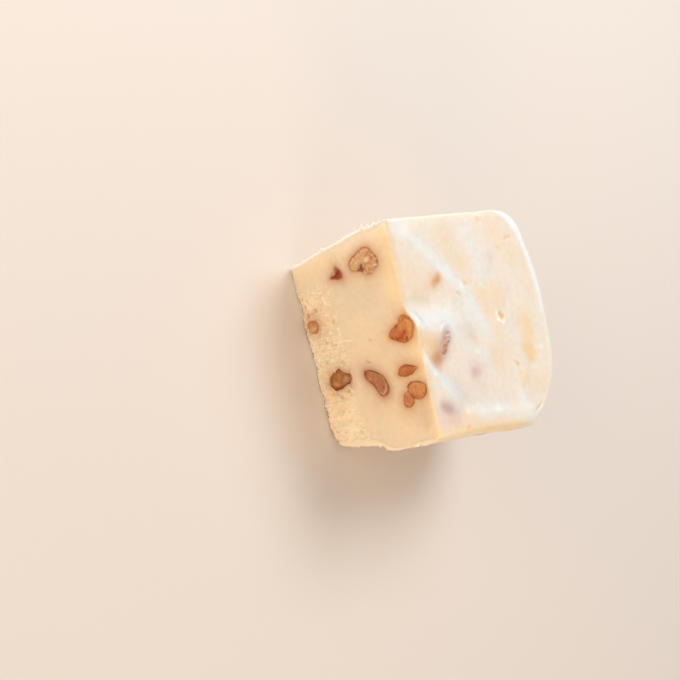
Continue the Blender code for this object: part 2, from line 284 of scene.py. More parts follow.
def oval(middle, length, width, turn, taper, bend, notch):
    """Points of an ellipse with one end fatter by the taper, bent and turned, and one notch in it."""
    angle = np.linspace(0.0, 2.0 * math.pi, OVAL_POINTS, endpoint=False)
    along = 0.5 * length * np.cos(angle)
    across = 0.5 * width * np.sin(angle) * (1.0 + taper * np.cos(angle)) + bend * (np.sin(angle) ** 2 - 0.5)
    place, depth, spread = notch
    away = (np.degrees(angle) - place + 180.0) % 360.0 - 180.0
    scale = 1.0 - depth * np.exp(-((away / spread) ** 2))
    cos, sin = math.cos(math.radians(turn)), math.sin(math.radians(turn))
    return np.stack((
        middle[0] + scale * (along * cos - across * sin),
        middle[1] + scale * (along * sin + across * cos),
    ), axis=-1)


# A cut pecan has its middle and outline on its face, its depth into the fudge, its flesh from low to
# high, its skin (colour, width), the stain that its oil leaves round it (colour, strength, reach), and
# marks such as folds, curls and dark bitter spots (colour, from, to, half-width, strength). On the two
# ends an oval round the middle stands for the outline (length, width, turn, taper, bend, notch).
CUT_FACE_PECANS = (
    {"node": "pecan_01", "middle": (-22.2, 25.2), "depth": 3.6,
     "outline": ((-26.0, 26.2), (-25.4, 27.9), (-24.0, 28.8), (-22.4, 29.9), (-20.6, 29.7), (-19.3, 27.8),
                 (-18.6, 25.9), (-19.1, 24.7), (-19.8, 23.6), (-20.1, 22.6), (-20.2, 21.4), (-20.8, 20.3),
                 (-22.0, 20.1), (-23.4, 20.9), (-24.4, 22.6), (-25.4, 24.4)),
     "flesh": ((0.63, 0.39, 0.200), (0.62, 0.36, 0.200)), "skin": ((0.41, 0.125, 0.052), 0.52),
     "stain": ((0.61, 0.30, 0.15), 0.80, 1.6),
     "marks": (
         (PINK_FLESH, (-25.0, 27.2), (-24.9, 25.2), 0.35, 0.7),
         (PINK_FLESH, (-24.4, 24.0), (-22.4, 21.1), 0.35, 0.7),
         ((0.80, 0.60, 0.36), (-22.9, 26.6), (-22.4, 26.0), 0.6, 0.9),
         ((0.66, 0.46, 0.25), (-22.6, 24.0), (-22.0, 22.2), 0.6, 0.6),
         (CHESTNUT, (-23.4, 26.2), (-24.4, 27.6), 0.26, 0.65),
         (CHESTNUT, (-23.5, 27.6), (-22.6, 28.5), 0.30, 0.5),
         (CHESTNUT, (-21.8, 26.4), (-21.1, 25.3), 0.22, 0.6),
         (CHESTNUT, (-20.7, 25.2), (-19.4, 25.4), 0.34, 0.6),
         (CHESTNUT, (-20.2, 27.6), (-19.8, 26.4), 0.30, 0.45),
         (BITTER, (-21.4, 24.3), (-20.2, 24.1), 0.48, 0.95),
         (BITTER, (-20.7, 23.9), (-20.1, 22.8), 0.48, 0.85),
         (UMBER, (-20.4, 25.0), (-19.8, 23.9), 0.25, 0.8),
         (NUT_FUDGE, (-23.5, 29.0), (-23.4, 28.6), 0.14, 0.6),
         (NUT_FUDGE, (-22.4, 29.8), (-22.3, 29.2), 0.18, 0.6),
         (NUT_FUDGE, (-20.9, 29.5), (-20.8, 28.7), 0.20, 0.5),
         (NUT_FUDGE, (-19.4, 27.6), (-19.0, 27.1), 0.16, 0.6),
         (NUT_FUDGE, (-19.3, 25.0), (-18.9, 25.2), 0.16, 0.7),
     )},
    {"node": "pecan_02", "middle": (-20.1, 15.5), "depth": 2.2,
     "outline": ((-22.3, 15.5), (-21.6, 16.5), (-20.5, 17.1), (-19.4, 16.8), (-18.9, 15.7), (-19.1, 14.3),
                 (-19.4, 12.9), (-19.9, 13.3), (-20.4, 14.6), (-21.3, 14.9)),
     "flesh": ((0.29, 0.050, 0.018), (0.26, 0.040, 0.013)), "skin": ((0.42, 0.125, 0.060), 0.34),
     "stain": ((0.52, 0.22, 0.118), 0.90, 1.15),
     "marks": (
         ((0.50, 0.17, 0.09), (-21.9, 15.6), (-21.4, 15.4), 0.45, 0.7),
         ((0.18, 0.020, 0.008), (-20.6, 16.1), (-20.2, 15.3), 0.5, 0.8),
     )},
    {"node": "pecan_03", "middle": (-3.2, 32.0), "depth": 4.0,
     "outline": ((-5.5, 36.0), (-4.1, 36.6), (-2.4, 36.2), (-0.8, 35.2), (0.2, 33.9), (0.45, 32.4),
                 (0.0, 30.8), (-0.5, 29.4), (-1.2, 28.1), (-2.1, 27.8), (-3.0, 28.4), (-3.9, 29.6),
                 (-4.6, 30.7), (-4.9, 31.6), (-6.1, 32.4), (-6.8, 33.9), (-6.2, 35.1)),
     "flesh": ((0.52, 0.165, 0.062), (0.58, 0.235, 0.072)), "skin": ((0.46, 0.120, 0.036), 0.32),
     "stain": ((0.67, 0.34, 0.145), 1.0, 1.25),
     "marks": (
         ((0.70, 0.33, 0.105), (-4.6, 35.4), (-3.0, 35.2), 0.8, 0.7),
         ((0.62, 0.26, 0.090), (-5.3, 33.9), (-4.2, 32.8), 0.7, 0.5),
         ((0.50, 0.19, 0.075), (-3.4, 30.4), (-2.2, 29.2), 0.7, 0.5),
         ((0.45, 0.095, 0.030), (-2.4, 33.2), (-0.8, 31.4), 0.75, 0.65),
         ((0.44, 0.100, 0.032), (-0.9, 30.6), (-0.8, 29.4), 0.4, 0.5),
         ((0.27, 0.036, 0.012), (-0.8, 33.6), (-0.3, 33.3), 0.42, 0.95),
         ((0.36, 0.052, 0.018), (-2.5, 33.5), (-2.0, 33.0), 0.40, 0.8),
         ((0.34, 0.052, 0.017), (-1.3, 32.0), (-0.8, 31.9), 0.34, 0.85),
         ((0.30, 0.045, 0.014), (-1.2, 31.2), (-1.0, 31.1), 0.28, 0.8),
         ((0.24, 0.036, 0.011), (-0.8, 30.4), (-0.6, 30.2), 0.36, 0.95),
         ((0.30, 0.055, 0.018), (-1.4, 28.9), (-1.2, 28.6), 0.30, 0.7),
         ((0.22, 0.040, 0.012), (-4.3, 31.0), (-4.0, 30.8), 0.34, 0.95),
         (CHESTNUT, (-5.4, 35.6), (-5.8, 34.8), 0.24, 0.8),
         (CHESTNUT, (-6.1, 34.3), (-5.2, 32.9), 0.24, 0.7),
         ((0.74, 0.38, 0.14), (-5.0, 34.9), (-5.2, 34.2), 0.25, 0.5),
     )},
    {"node": "pecan_04", "middle": (7.8, 31.0), "depth": 2.6,
     "outline": ((7.2, 34.6), (6.6, 33.4), (6.2, 31.8), (6.1, 30.4), (6.6, 28.9), (7.4, 28.1), (8.5, 27.8),
                 (9.0, 28.9), (9.3, 30.3), (8.9, 32.0), (8.1, 33.4)),
     "flesh": ((0.49, 0.160, 0.062), (0.46, 0.155, 0.055)), "skin": ((0.36, 0.092, 0.026), 0.46),
     "stain": ((0.68, 0.33, 0.13), 0.88, 1.6),
     "marks": (
         ((0.68, 0.33, 0.12), (7.2, 34.6), (7.3, 33.9), 0.4, 0.7),
         ((0.36, 0.100, 0.034), (8.3, 33.0), (8.8, 31.4), 0.35, 0.5),
         ((0.56, 0.22, 0.085), (7.0, 30.8), (7.6, 29.4), 0.45, 0.5),
     )},
    {"node": "pecan_05", "middle": (13.9, 31.4), "depth": 3.0,
     "outline": ((12.6, 36.1), (13.9, 35.8), (15.0, 34.7), (15.6, 33.2), (15.5, 31.9), (15.3, 31.1),
                 (16.5, 30.7), (17.3, 29.4), (17.3, 28.0), (16.2, 27.4), (14.8, 27.7), (13.5, 28.5),
                 (13.0, 29.6), (11.8, 29.9), (10.9, 30.9), (10.7, 32.6), (11.0, 34.4), (11.7, 35.7)),
     "flesh": ((0.54, 0.215, 0.095), (0.60, 0.265, 0.090)), "skin": ((0.38, 0.105, 0.032), 0.46),
     "stain": ((0.62, 0.32, 0.135), 0.82, 2.0),
     "marks": (
         ((0.68, 0.33, 0.165), (11.6, 33.8), (11.3, 31.8), 0.26, 0.6),
         ((0.68, 0.33, 0.165), (13.4, 29.4), (13.8, 28.6), 0.28, 0.5),
         ((0.50, 0.165, 0.060), (14.9, 34.0), (14.6, 32.0), 0.5, 0.65),
         ((0.48, 0.165, 0.060), (13.6, 31.6), (14.6, 31.4), 0.35, 0.6),
         (CHESTNUT, (13.1, 29.9), (14.4, 30.6), 0.24, 0.8),
         (UMBER, (14.2, 30.7), (15.0, 31.3), 0.36, 0.95),
         (UMBER, (11.1, 30.8), (11.6, 30.1), 0.34, 0.9),
         (CHESTNUT, (17.0, 28.6), (17.1, 27.8), 0.30, 0.6),
     )},
    {"node": "pecan_06", "middle": (9.8, 20.4), "depth": 2.8,
     "outline": ((6.1, 17.0), (6.1, 18.9), (6.9, 20.8), (8.1, 22.5), (9.8, 23.4), (11.7, 23.6),
                 (13.1, 22.8), (13.6, 21.4), (13.1, 20.2), (11.8, 19.5), (10.3, 18.6), (9.3, 17.5),
                 (8.3, 16.6), (7.0, 16.3)),
     "flesh": ((0.43, 0.180, 0.088), (0.42, 0.178, 0.085)), "skin": ((0.29, 0.085, 0.034), 0.42),
     "stain": ((0.52, 0.25, 0.125), 0.93, 1.75), "ragged": 0.03,
     "marks": (
         ((0.60, 0.29, 0.165), (7.6, 21.2), (8.8, 22.5), 0.18, 0.5),
         ((0.60, 0.29, 0.165), (8.8, 22.5), (10.4, 23.0), 0.18, 0.5),
         (PINK_FLESH, (10.4, 23.0), (12.1, 22.4), 0.20, 0.8),
         (PINK_FLESH, (12.1, 22.4), (12.9, 21.3), 0.20, 0.8),
         (PINK_FLESH, (12.9, 21.3), (12.4, 20.4), 0.18, 0.5),
         ((0.58, 0.28, 0.15), (7.7, 17.4), (8.6, 18.5), 0.26, 0.5),
         (CHESTNUT, (10.4, 21.9), (11.9, 21.0), 0.28, 0.4),
         (CHESTNUT, (8.2, 20.6), (9.8, 20.9), 0.35, 0.35),
         (UMBER, (6.5, 17.0), (7.2, 16.9), 0.5, 0.9),
         (UMBER, (9.4, 18.2), (10.9, 19.3), 0.30, 0.8),
     )},
    {"node": "pecan_07", "middle": (7.5, 7.9), "depth": 3.4,
     "outline": ((6.6, 11.7), (7.7, 11.6), (8.7, 11.0), (9.1, 9.7), (9.7, 8.3), (10.3, 6.8), (10.2, 5.2),
                 (9.3, 4.4), (8.1, 3.8), (6.7, 4.3), (5.5, 5.3), (5.0, 6.7), (4.4, 7.9), (5.1, 9.0),
                 (5.9, 10.5)),
     "flesh": ((0.36, 0.145, 0.048), (0.40, 0.180, 0.072)), "skin": ((0.27, 0.080, 0.026), 0.22),
     "stain": ((0.55, 0.31, 0.16), 0.83, 1.7), "ragged": 0.20,
     "marks": (
         ((0.52, 0.30, 0.15), (7.2, 10.0), (7.8, 9.2), 0.5, 0.7),
         ((0.56, 0.36, 0.12), (8.7, 6.8), (8.3, 5.7), 0.5, 0.7),
         ((0.46, 0.22, 0.085), (6.4, 7.8), (7.6, 7.2), 0.7, 0.5),
         ((0.27, 0.095, 0.030), (5.7, 9.8), (6.6, 9.0), 0.4, 0.6),
         ((0.27, 0.100, 0.032), (7.4, 8.4), (8.2, 8.0), 0.35, 0.5),
         ((0.28, 0.090, 0.028), (6.3, 5.4), (7.8, 4.5), 0.45, 0.7),
         (BITTER, (8.4, 11.0), (8.9, 9.7), 0.26, 0.95),
         (BITTER, (8.9, 9.7), (9.4, 8.2), 0.26, 0.95),
         ((0.24, 0.034, 0.012), (9.6, 7.8), (9.9, 5.2), 0.40, 0.95),
         ((0.26, 0.045, 0.016), (9.8, 5.1), (8.9, 4.5), 0.34, 0.9),
         (UMBER, (4.6, 8.1), (5.5, 7.0), 0.36, 0.85),
         (UMBER, (6.6, 11.5), (6.2, 10.2), 0.26, 0.85),
     )},
    {"node": "pecan_08", "middle": (-7.7, 2.8), "depth": 2.4,
     "outline": ((-9.2, 4.4), (-8.2, 4.8), (-6.9, 4.5), (-6.0, 3.7), (-5.9, 2.4), (-6.4, 1.2), (-7.5, 0.8),
                 (-8.8, 1.0), (-9.5, 2.0), (-9.5, 3.3)),
     "flesh": ((0.57, 0.31, 0.150), (0.53, 0.27, 0.125)), "skin": ((0.40, 0.165, 0.070), 0.36),
     "stain": ((0.60, 0.35, 0.18), 0.90, 1.2),
     "marks": (
         ((0.74, 0.42, 0.20), (-7.3, 3.2), (-6.8, 2.0), 0.5, 0.7),
         ((0.48, 0.19, 0.090), (-9.0, 4.0), (-8.8, 3.0), 0.5, 0.7),
         ((0.48, 0.19, 0.090), (-8.4, 2.0), (-7.9, 1.7), 0.3, 0.4),
     )},
)
RIGHT_END_PECANS = (
    {"node": "pecan_10", "middle": (-16.0, 22.0), "depth": 3.2,
     "oval": (8.6, 5.0, 70, 0.3, 0.4, (250, 0.25, 18)),
     "flesh": ((0.60, 0.235, 0.090), (0.70, 0.30, 0.10)), "skin": (CHESTNUT, 0.34),
     "stain": ((0.66, 0.34, 0.145), 0.85, 1.4),
     "marks": (
         (PINK_FLESH, (-17.4, 22.5), (-16.8, 19.6), 0.3, 0.6),
         (UMBER, (-15.6, 21.6), (-14.4, 22.2), 0.3, 0.7),
     )},
    {"node": "pecan_11", "middle": (-4.0, 12.5), "depth": 2.6,
     "oval": (7.4, 3.8, 20, 0.1, 0.6, (270, 0.0, 18)),
     "flesh": ((0.50, 0.205, 0.100), (0.49, 0.205, 0.095)), "skin": (RING_SKIN, 0.45),
     "stain": ((0.56, 0.30, 0.150), 0.85, 1.5),
     "marks": (
         (PINK_FLESH, (-4.5, 13.2), (-2.2, 13.4), 0.25, 0.6),
     )},
    {"node": "pecan_12", "middle": (2.0, 25.5), "depth": 2.8,
     "oval": (6.2, 4.2, 130, -0.2, 0.2, (60, 0.15, 16)),
     "flesh": ((0.54, 0.17, 0.070), (0.66, 0.26, 0.09)), "skin": ((0.38, 0.110, 0.035), 0.34),
     "stain": ((0.66, 0.34, 0.135), 0.85, 1.4),
     "marks": (
         (ORANGE_FLESH, (1.2, 26.6), (2.2, 26.9), 0.7, 0.6),
         (UMBER, (2.6, 24.6), (3.0, 24.2), 0.3, 0.7),
     )},
)
LEFT_END_PECANS = (
    {"node": "pecan_13", "middle": (-18.0, 12.0), "depth": 3.0,
     "oval": (7.8, 4.6, 50, 0.2, 0.5, (240, 0.2, 18)),
     "flesh": ((0.50, 0.22, 0.11), (0.62, 0.31, 0.16)), "skin": (RING_SKIN, 0.4),
     "stain": ((0.58, 0.31, 0.155), 0.85, 1.5),
     "marks": (
         (PINK_FLESH, (-18.8, 13.6), (-16.6, 14.0), 0.3, 0.5),
         (UMBER, (-18.4, 10.8), (-17.4, 10.6), 0.3, 0.6),
     )},
    {"node": "pecan_14", "middle": (-6.0, 24.5), "depth": 3.4,
     "oval": (9.4, 5.2, 110, 0.35, 0.3, (255, 0.3, 18)),
     "flesh": ((0.68, 0.40, 0.21), (0.65, 0.37, 0.19)), "skin": (CHESTNUT, 0.42),
     "stain": ((0.61, 0.31, 0.155), 0.80, 1.6),
     "marks": (
         (PINK_FLESH, (-8.2, 26.0), (-7.4, 23.0), 0.35, 0.7),
         (BITTER, (-5.4, 23.4), (-4.4, 23.6), 0.3, 0.8),
         (CHESTNUT, (-7.2, 27.0), (-6.4, 25.8), 0.3, 0.5),
     )},
    {"node": "pecan_15", "middle": (1.5, 9.5), "depth": 2.4,
     "oval": (5.4, 3.6, 10, -0.2, 0.2, (270, 0.0, 18)),
     "flesh": ((0.55, 0.19, 0.075), (0.60, 0.24, 0.10)), "skin": ((0.38, 0.110, 0.035), 0.36),
     "stain": ((0.62, 0.34, 0.150), 0.85, 1.3), "marks": ()},
)
# One half lies just under the skin of the top, which clings to it as a pinkish film with pale creases.
TOP_PECANS = (
    {"node": "pecan_09", "middle": (2.8, -18.4), "depth": 2.2,
     "outline": ((0.0, -17.0), (0.8, -15.9), (2.0, -15.9), (3.4, -17.0), (4.6, -18.2), (5.8, -19.4),
                 (5.9, -20.6), (4.9, -21.0), (3.4, -20.8), (1.9, -20.4), (0.6, -19.7), (-0.1, -18.6)),
     "flesh": ((0.66, 0.40, 0.30), (0.66, 0.48, 0.45)), "skin": ((0.76, 0.58, 0.50), 0.75),
     "stain": ((0.76, 0.58, 0.50), 0.8, 0.9),
     "marks": (
         ((0.50, 0.28, 0.25), (0.5, -16.6), (0.6, -18.6), 0.50, 0.60),
         ((0.52, 0.38, 0.40), (2.0, -16.4), (1.9, -17.4), 0.50, 0.50),
         ((0.60, 0.34, 0.27), (1.0, -19.4), (2.8, -20.0), 0.55, 0.55),
         ((0.86, 0.80, 0.77), (1.4, -16.1), (1.2, -19.0), 0.26, 0.60),
         ((0.84, 0.76, 0.72), (2.5, -17.0), (2.4, -18.8), 0.22, 0.45),
         ((0.40, 0.160, 0.110), (2.9, -17.3), (3.0, -17.9), 0.42, 0.75),
         ((0.46, 0.190, 0.130), (1.4, -18.9), (1.7, -19.2), 0.36, 0.55),
         ((0.52, 0.22, 0.120), (3.7, -18.8), (3.8, -19.7), 0.42, 0.65),
         ((0.84, 0.62, 0.46), (4.4, -18.6), (4.4, -19.6), 0.20, 0.35),
         ((0.52, 0.21, 0.100), (4.9, -19.4), (5.6, -20.6), 0.90, 0.80),
     )},
)


def smooth_outline(nut):
    """A closed curve through a nut's few points, one point for each column, anticlockwise.

    Between two points it is the cubic whose slope at each is half the step between its neighbours, and
    a fine noise makes it as ragged as a cut nut."""
    knots = oval(nut["middle"], *nut["oval"]) if "oval" in nut else np.array(nut["outline"])
    step = np.arange(NUT_COLUMNS) * len(knots) / NUT_COLUMNS
    i, t = step.astype(int), (step % 1.0)[:, None]
    a, b, c, d = (knots[(i + k) % len(knots)] for k in (-1, 0, 1, 2))
    curve = b + 0.5 * t * (c - a + t * (2.0 * a - 5.0 * b + 4.0 * c - d + t * (3.0 * (b - c) + d - a)))
    p, q = curve.T
    rough = np.stack((p, q, 0.0 * p), axis=-1) / RIM_GRAIN
    ragged = nut.get("ragged", RIM_RAGGED)
    p, q = p + ragged * fine_noise(rough), q + ragged * fine_noise(rough + RIM_SHIFT)
    turning = np.sum(p * np.roll(q, -1) - q * np.roll(p, -1))
    return (p, q) if turning > 0.0 else (p[::-1], q[::-1])


def gap_to_nut(nut, p, q):
    """The distance from points of a face to a nut's outline, negative inside it.

    The nearest of the outline's points gives the distance, and a point is inside where a line from it
    along the face crosses the outline an odd number of times."""
    rim_p, rim_q = smooth_outline(nut)
    gap = np.full(p.shape, FAR)
    near = np.hypot(p - nut["middle"][0], q - nut["middle"][1]) < NUT_NEIGHBOURHOOD
    a, b = p[near][:, None], q[near][:, None]
    next_p, next_q = np.roll(rim_p, -1), np.roll(rim_q, -1)
    crosses = ((rim_q > b) != (next_q > b)) & (a < (next_p - rim_p) * (b - rim_q) / (next_q - rim_q) + rim_p)
    inside = crosses.sum(axis=1) % 2 == 1
    gap[near] = np.hypot(a - rim_p, b - rim_q).min(axis=1) * np.where(inside, -1.0, 1.0)
    return gap


def mix(first, second, share):
    """A blend of two colours, or of two grids of them, by a share."""
    return np.asarray(first) + (np.asarray(second) - np.asarray(first)) * np.asarray(share)[..., None]


def nut_grid(nut, onto_face, proud):
    """A cut nut as rows from the middle of its face to its rim, down its side and round a bowl.

    Each row is the outline shrunk by a share towards the middle, and lifted off the face: the cut is
    a low dome with its marks sunk in, and the bowl a quarter of an ellipse."""
    rim_p, rim_q = smooth_outline(nut)
    quarter = np.linspace(0.0, 0.5 * math.pi, BOWL_ROWS + 1)[:-1]
    middle_rows = np.linspace(FACE_START, RIM_START, FACE_ROWS)
    face = np.concatenate((middle_rows, np.linspace(RIM_START, 1.0, RIM_ROWS + 1)[1:]))
    shares = np.concatenate((face, np.cos(quarter)))[:, None]
    bowl = -RIM_DIP - (nut["depth"] - RIM_DIP) * np.sin(quarter)
    lift = np.concatenate((proud * (1.0 - face**6), bowl))
    middle_p, middle_q = nut["middle"]
    p = middle_p + (rim_p - middle_p) * shares
    q = middle_q + (rim_q - middle_q) * shares
    rough = CUT_ROUGHNESS * fine_noise(np.stack((p, q, np.zeros_like(p)), axis=-1) / CUT_GRAIN)
    for _, start, end, width, strength in nut["marks"]:
        rough = rough - wave(p, q, start, end, width, MARK_DEPTH * strength)
    lift = lift[:, None] + rough * (shares < FLAT_RIM)
    from_rim = np.hypot(rim_p - middle_p, rim_q - middle_q) * (1.0 - shares)
    return onto_face(p, q, lift), p, q, from_rim


def nut_colours(nut, p, q, from_rim):
    """Flesh from its low to its high tone, a mottle, dark specks, the skin along the rim, and the marks."""
    flat = np.stack((p, q, np.full_like(p, NOISE_PLANE)), axis=-1)
    high = (q - nut["middle"][1]) / np.ptp(q) + FLESH_DRIFT * fine_noise(flat / FLESH_GRAIN)
    colour = mix(*nut["flesh"], smooth_step(*FLESH_TURN, high))
    colour = colour * (1.0 + layered_noise(flat, FLESH_MOTTLE))[..., None]
    skin_colour, width = nut["skin"]
    speck = smooth_step(*SPECK_RANGE, fine_noise(flat / SPECK_GRAIN + NOISE_SHIFT))
    colour = mix(colour, skin_colour, SPECKS * speck)
    frayed = width * (1.0 + SKIN_FRAYING * fine_noise(flat / SKIN_GRAIN))
    softness = SKIN_EDGE + SKIN_EDGE_GROWTH * width
    left = np.clip(SKIN_LEFT + SKIN_WEAR * fine_noise(flat / WEAR_GRAIN), LEAST_SKIN, 1.0)
    colour = mix(colour, skin_colour, left * smooth_step(frayed + softness, frayed - softness, from_rim))
    for tint, start, end, half_width, strength in nut["marks"]:
        colour = mix(colour, tint, wave(p, q, start, end, half_width, strength))
    return colour


def on_cut_face(p, q, lift):
    """Points of the cut face at across p and height q, moved off it by the lift."""
    back = cut_face_y(p, q)
    below_top = np.clip(top_z(p, back) - q, 0.0, None)
    gaps = np.stack((np.full_like(p, FAR), np.zeros_like(p), below_top), axis=-1)
    flat = np.stack((p, back, q), axis=-1)
    press = pressed_corners(gaps, edge_radius(flat))
    return np.stack((p, back + press[..., 1] - lift - faint_waves(flat), q - press[..., 2]), axis=-1)


def on_right_end(p, q, lift):
    """Points of the right end at depth p and height q, moved off it by the lift."""
    wall = right_end_x(p, q)
    return np.stack((wall + lift + faint_waves(np.stack((wall, p, q), axis=-1)), p, q), axis=-1)


def on_left_end(p, q, lift):
    """Points of the left end at depth p and height q, moved off it by the lift."""
    wall = left_end_x(p, q)
    return np.stack((wall - lift - faint_waves(np.stack((wall, p, q), axis=-1)), p, q), axis=-1)


def on_top_skin(p, q, lift):
    """Points of the top, moved up by the lift."""
    return np.stack((p, q, top_z(p, q) + top_relief(p, q) + lift), axis=-1)


def grid_mesh(name, grid, first_pole, last_pole):
    """A closed mesh of a grid that is closed along its rows, with a pole before and after it."""
    rows, columns = grid.shape[:2]
    i, j = np.meshgrid(np.arange(rows - 1), np.arange(columns), indexing="ij")
    right = (j + 1) % columns
    quads = np.stack((i * columns + j, i * columns + right, (i + 1) * columns + right, (i + 1) * columns + j))
    j = np.arange(columns)
    right = (j + 1) % columns
    last = (rows - 1) * columns
    first_fan = np.stack((right, j, np.full_like(j, rows * columns)), axis=-1)
    last_fan = np.stack((last + j, last + right, np.full_like(j, rows * columns + 1)), axis=-1)
    points = np.concatenate((grid.reshape(-1, 3), [first_pole, last_pole])) * MM
    faces = quads.reshape(4, -1).T.tolist() + first_fan.tolist() + last_fan.tolist()
    mesh = bpy.data.meshes.new(name)
    mesh.from_pydata(points.tolist(), [], faces)
    mesh.shade_smooth()
    return mesh


def paint(mesh, name, colours):
    """Puts a colour on each vertex, under a name that a material reads; poles take their row's mean."""
    flat = colours.reshape(-1, 3)
    if len(mesh.vertices) > len(flat):
        flat = np.concatenate((flat, [colours[0].mean(0), colours[-1].mean(0)]))
    with_alpha = np.column_stack((flat, np.ones(len(flat)))).astype(np.float32)
    attribute = mesh.color_attributes.new(name, "FLOAT_COLOR", "POINT")
    attribute.data.foreach_set("color", with_alpha.ravel())


def add_piece(name, mesh, material, slot, *nodes):
    """Shows a finished mesh as a piece that rides on the block and stands for the CAD nodes."""
    mesh.materials.append(material)
    piece = bpy.data.objects.new(name, mesh)
    bpy.context.scene.collection.objects.link(piece)
    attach(piece, "root")
    if nodes:
        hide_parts(*nodes)


def new_material(name, roughness, glow, glow_depth):
    """A material with its node tree and shader; the glow is how much light goes through it."""
    material = bpy.data.materials.new(name)
    material.use_nodes = True
    shader = material.node_tree.nodes["Principled BSDF"]
    shader.inputs["Roughness"].default_value = roughness
    shader.inputs["Subsurface Weight"].default_value = glow
    shader.inputs["Subsurface Radius"].default_value = CREAM_GLOW
    shader.inputs["Subsurface Scale"].default_value = glow_depth * MM
    return material, material.node_tree, shader


def noise_over(tree, place, size, detail):
    """A noise of that size in millimetres over a place."""
    noise = tree.nodes.new("ShaderNodeTexNoise")
    noise.inputs["Scale"].default_value = 1.0 / (size * MM)
    noise.inputs["Detail"].default_value = detail
    tree.links.new(place, noise.inputs["Vector"])
    return noise.outputs["Fac"]


def ranged(tree, source, socket, low, high, between=(0.0, 1.0)):
    """Drives a socket from low to high while its source goes between two values."""
    spread = tree.nodes.new("ShaderNodeMapRange")
    spread.inputs["From Min"].default_value, spread.inputs["From Max"].default_value = between
    spread.inputs["To Min"].default_value, spread.inputs["To Max"].default_value = low, high
    tree.links.new(source, spread.inputs["Value"])
    tree.links.new(spread.outputs["Result"], socket)


def mottled(tree, shader, attribute_name, size, low, high):
    """Colours a shader with a painted colour times a noise, and gives the noise and its place back."""
    attribute = tree.nodes.new("ShaderNodeAttribute")
    attribute.attribute_name = attribute_name
    place = tree.nodes.new("ShaderNodeTexCoord").outputs["Object"]
    noise = noise_over(tree, place, size, detail=3.0)
    tone = tree.nodes.new("ShaderNodeVectorMath")
    tone.operation = "SCALE"
    tree.links.new(attribute.outputs["Color"], tone.inputs[0])
    ranged(tree, noise, tone.inputs["Scale"], low, high, between=(0.3, 0.7))
    tree.links.new(tone.outputs["Vector"], shader.inputs["Base Color"])
    return noise, place


def bumped(tree, shader, height, distance):
    """Lets a noise stand off a surface by a distance, and gives the socket of its strength back."""
    bump = tree.nodes.new("ShaderNodeBump")
    bump.inputs["Distance"].default_value = distance * MM
    tree.links.new(height, bump.inputs["Height"])
    tree.links.new(bump.outputs["Normal"], shader.inputs["Normal"])
    return bump.inputs["Strength"]


pecan_material, tree, shader = new_material("toasted_pecan", roughness=0.5, glow=0.15, glow_depth=0.5)
mottle, _ = mottled(tree, shader, "nut_colour", size=0.55, low=0.84, high=1.12)
bumped(tree, shader, mottle, distance=0.12).default_value = 0.7
shader.inputs["Specular IOR Level"].default_value = 0.2

for nuts, onto_face, proud, turned in (
    (CUT_FACE_PECANS, on_cut_face, PROUD, True),
    (RIGHT_END_PECANS, on_right_end, PROUD, True),
    (LEFT_END_PECANS, on_left_end, PROUD, False),
    (TOP_PECANS, on_top_skin, TOP_PROUD, True),
):
    for nut in nuts:
        points, p, q, from_rim = nut_grid(nut, onto_face, proud)
        colours = nut_colours(nut, p, q, from_rim)
        if turned:
            points, colours = points[:, ::-1], colours[:, ::-1]
        mesh = grid_mesh(nut["node"] + "_cut", points, points[0].mean(0), points[-1].mean(0))
        paint(mesh, "nut_colour", colours)
        add_piece(nut["node"] + "_cut", mesh, pecan_material, "pecan", nut["node"])

# ------------------------------------------------------------------ the fudge round the pecans
# One casting of cream-white fudge. The top and the outer side set with a satin skin; the outer side
# and the ends are streaked paler where fat bloomed, and the top carries painted sheen and highlights.
# The knife left matt faces, and the foot, next to the tray, is porous and crumbly.
CUT_SIDE, RIGHT_SIDE, OUTER_SIDE, LEFT_SIDE = range(4)
CUT_FACE_COLUMNS, END_COLUMNS, OUTER_SIDE_COLUMNS = 200, 88, 170
BAND_ROWS, WALL_ROWS, EDGE_ROWS, TOP_ROWS, UNDERSIDE_ROWS = 54, 34, 7, 70, 10
EDGE_SHARE, BAND_SHARE = 0.045, 13.0 / HEIGHT
# The porous band: its crags, its ragged upper edge and the smooth left corner of the cut face.
BAND_HEIGHT, BAND_LEVEL_SHARE, BAND_CRUMB, BAND_DEPTH, PIT_SHARE = 12.5, 0.7, 3.0, 0.45, 0.35
BAND_TOP, BAND_CLIMB_FROM_X, BAND_CLIMB, BAND_FADE, BAND_RAGGED = 11.5, 9.0, 0.1, 0.7, 1.6
BAND_EDGE_NOISE = ((2.3, BAND_RAGGED), (9.0, 1.0))
SMOOTH_CORNER_X, CORNER_SHIFT, CORNER_GRAIN = (-17.0, -13.0), 1.5, 1.9
# Balls in the crumb, as lumps that stand out and as large and small pores: seed, spacing, the share of
# the cells that hold one, and its smallest and largest radius in spacings.
LUMPS = (24, 0.95, 0.95, 0.42, 0.70)
WIDE_PORES = (22, 2.5, 0.45, 0.14, 0.34)
FINE_PORES = (23, 1.15, 0.75, 0.20, 0.45)
LUMP_ROUNDING, PORE_ROUNDING = (0.0, 0.7), (0.0, 0.8)
LUMP_HEIGHT, CREST_HEIGHT, WIDE_PORE_DEPTH, FINE_PORE_DEPTH = 0.38, 0.10, 0.35, 0.20
CREST_GRAIN, CREST_WIDTH = (1.5, 1.5, 2.1), 0.4
SEEN_PORE_DEPTH, SEEN_PORE_FLARE, SEEN_PORE_ROUNDING = 0.4, 1.3, (0.0, 0.7)
CLOSED_SHARE, CLOSED_X = 0.25, (11.0, 15.0)
UNDERSIDE_PITS, UNDERSIDE_GRAIN, UNDERSIDE_RIM = 0.5, 1.6, (1.0, 0.95)
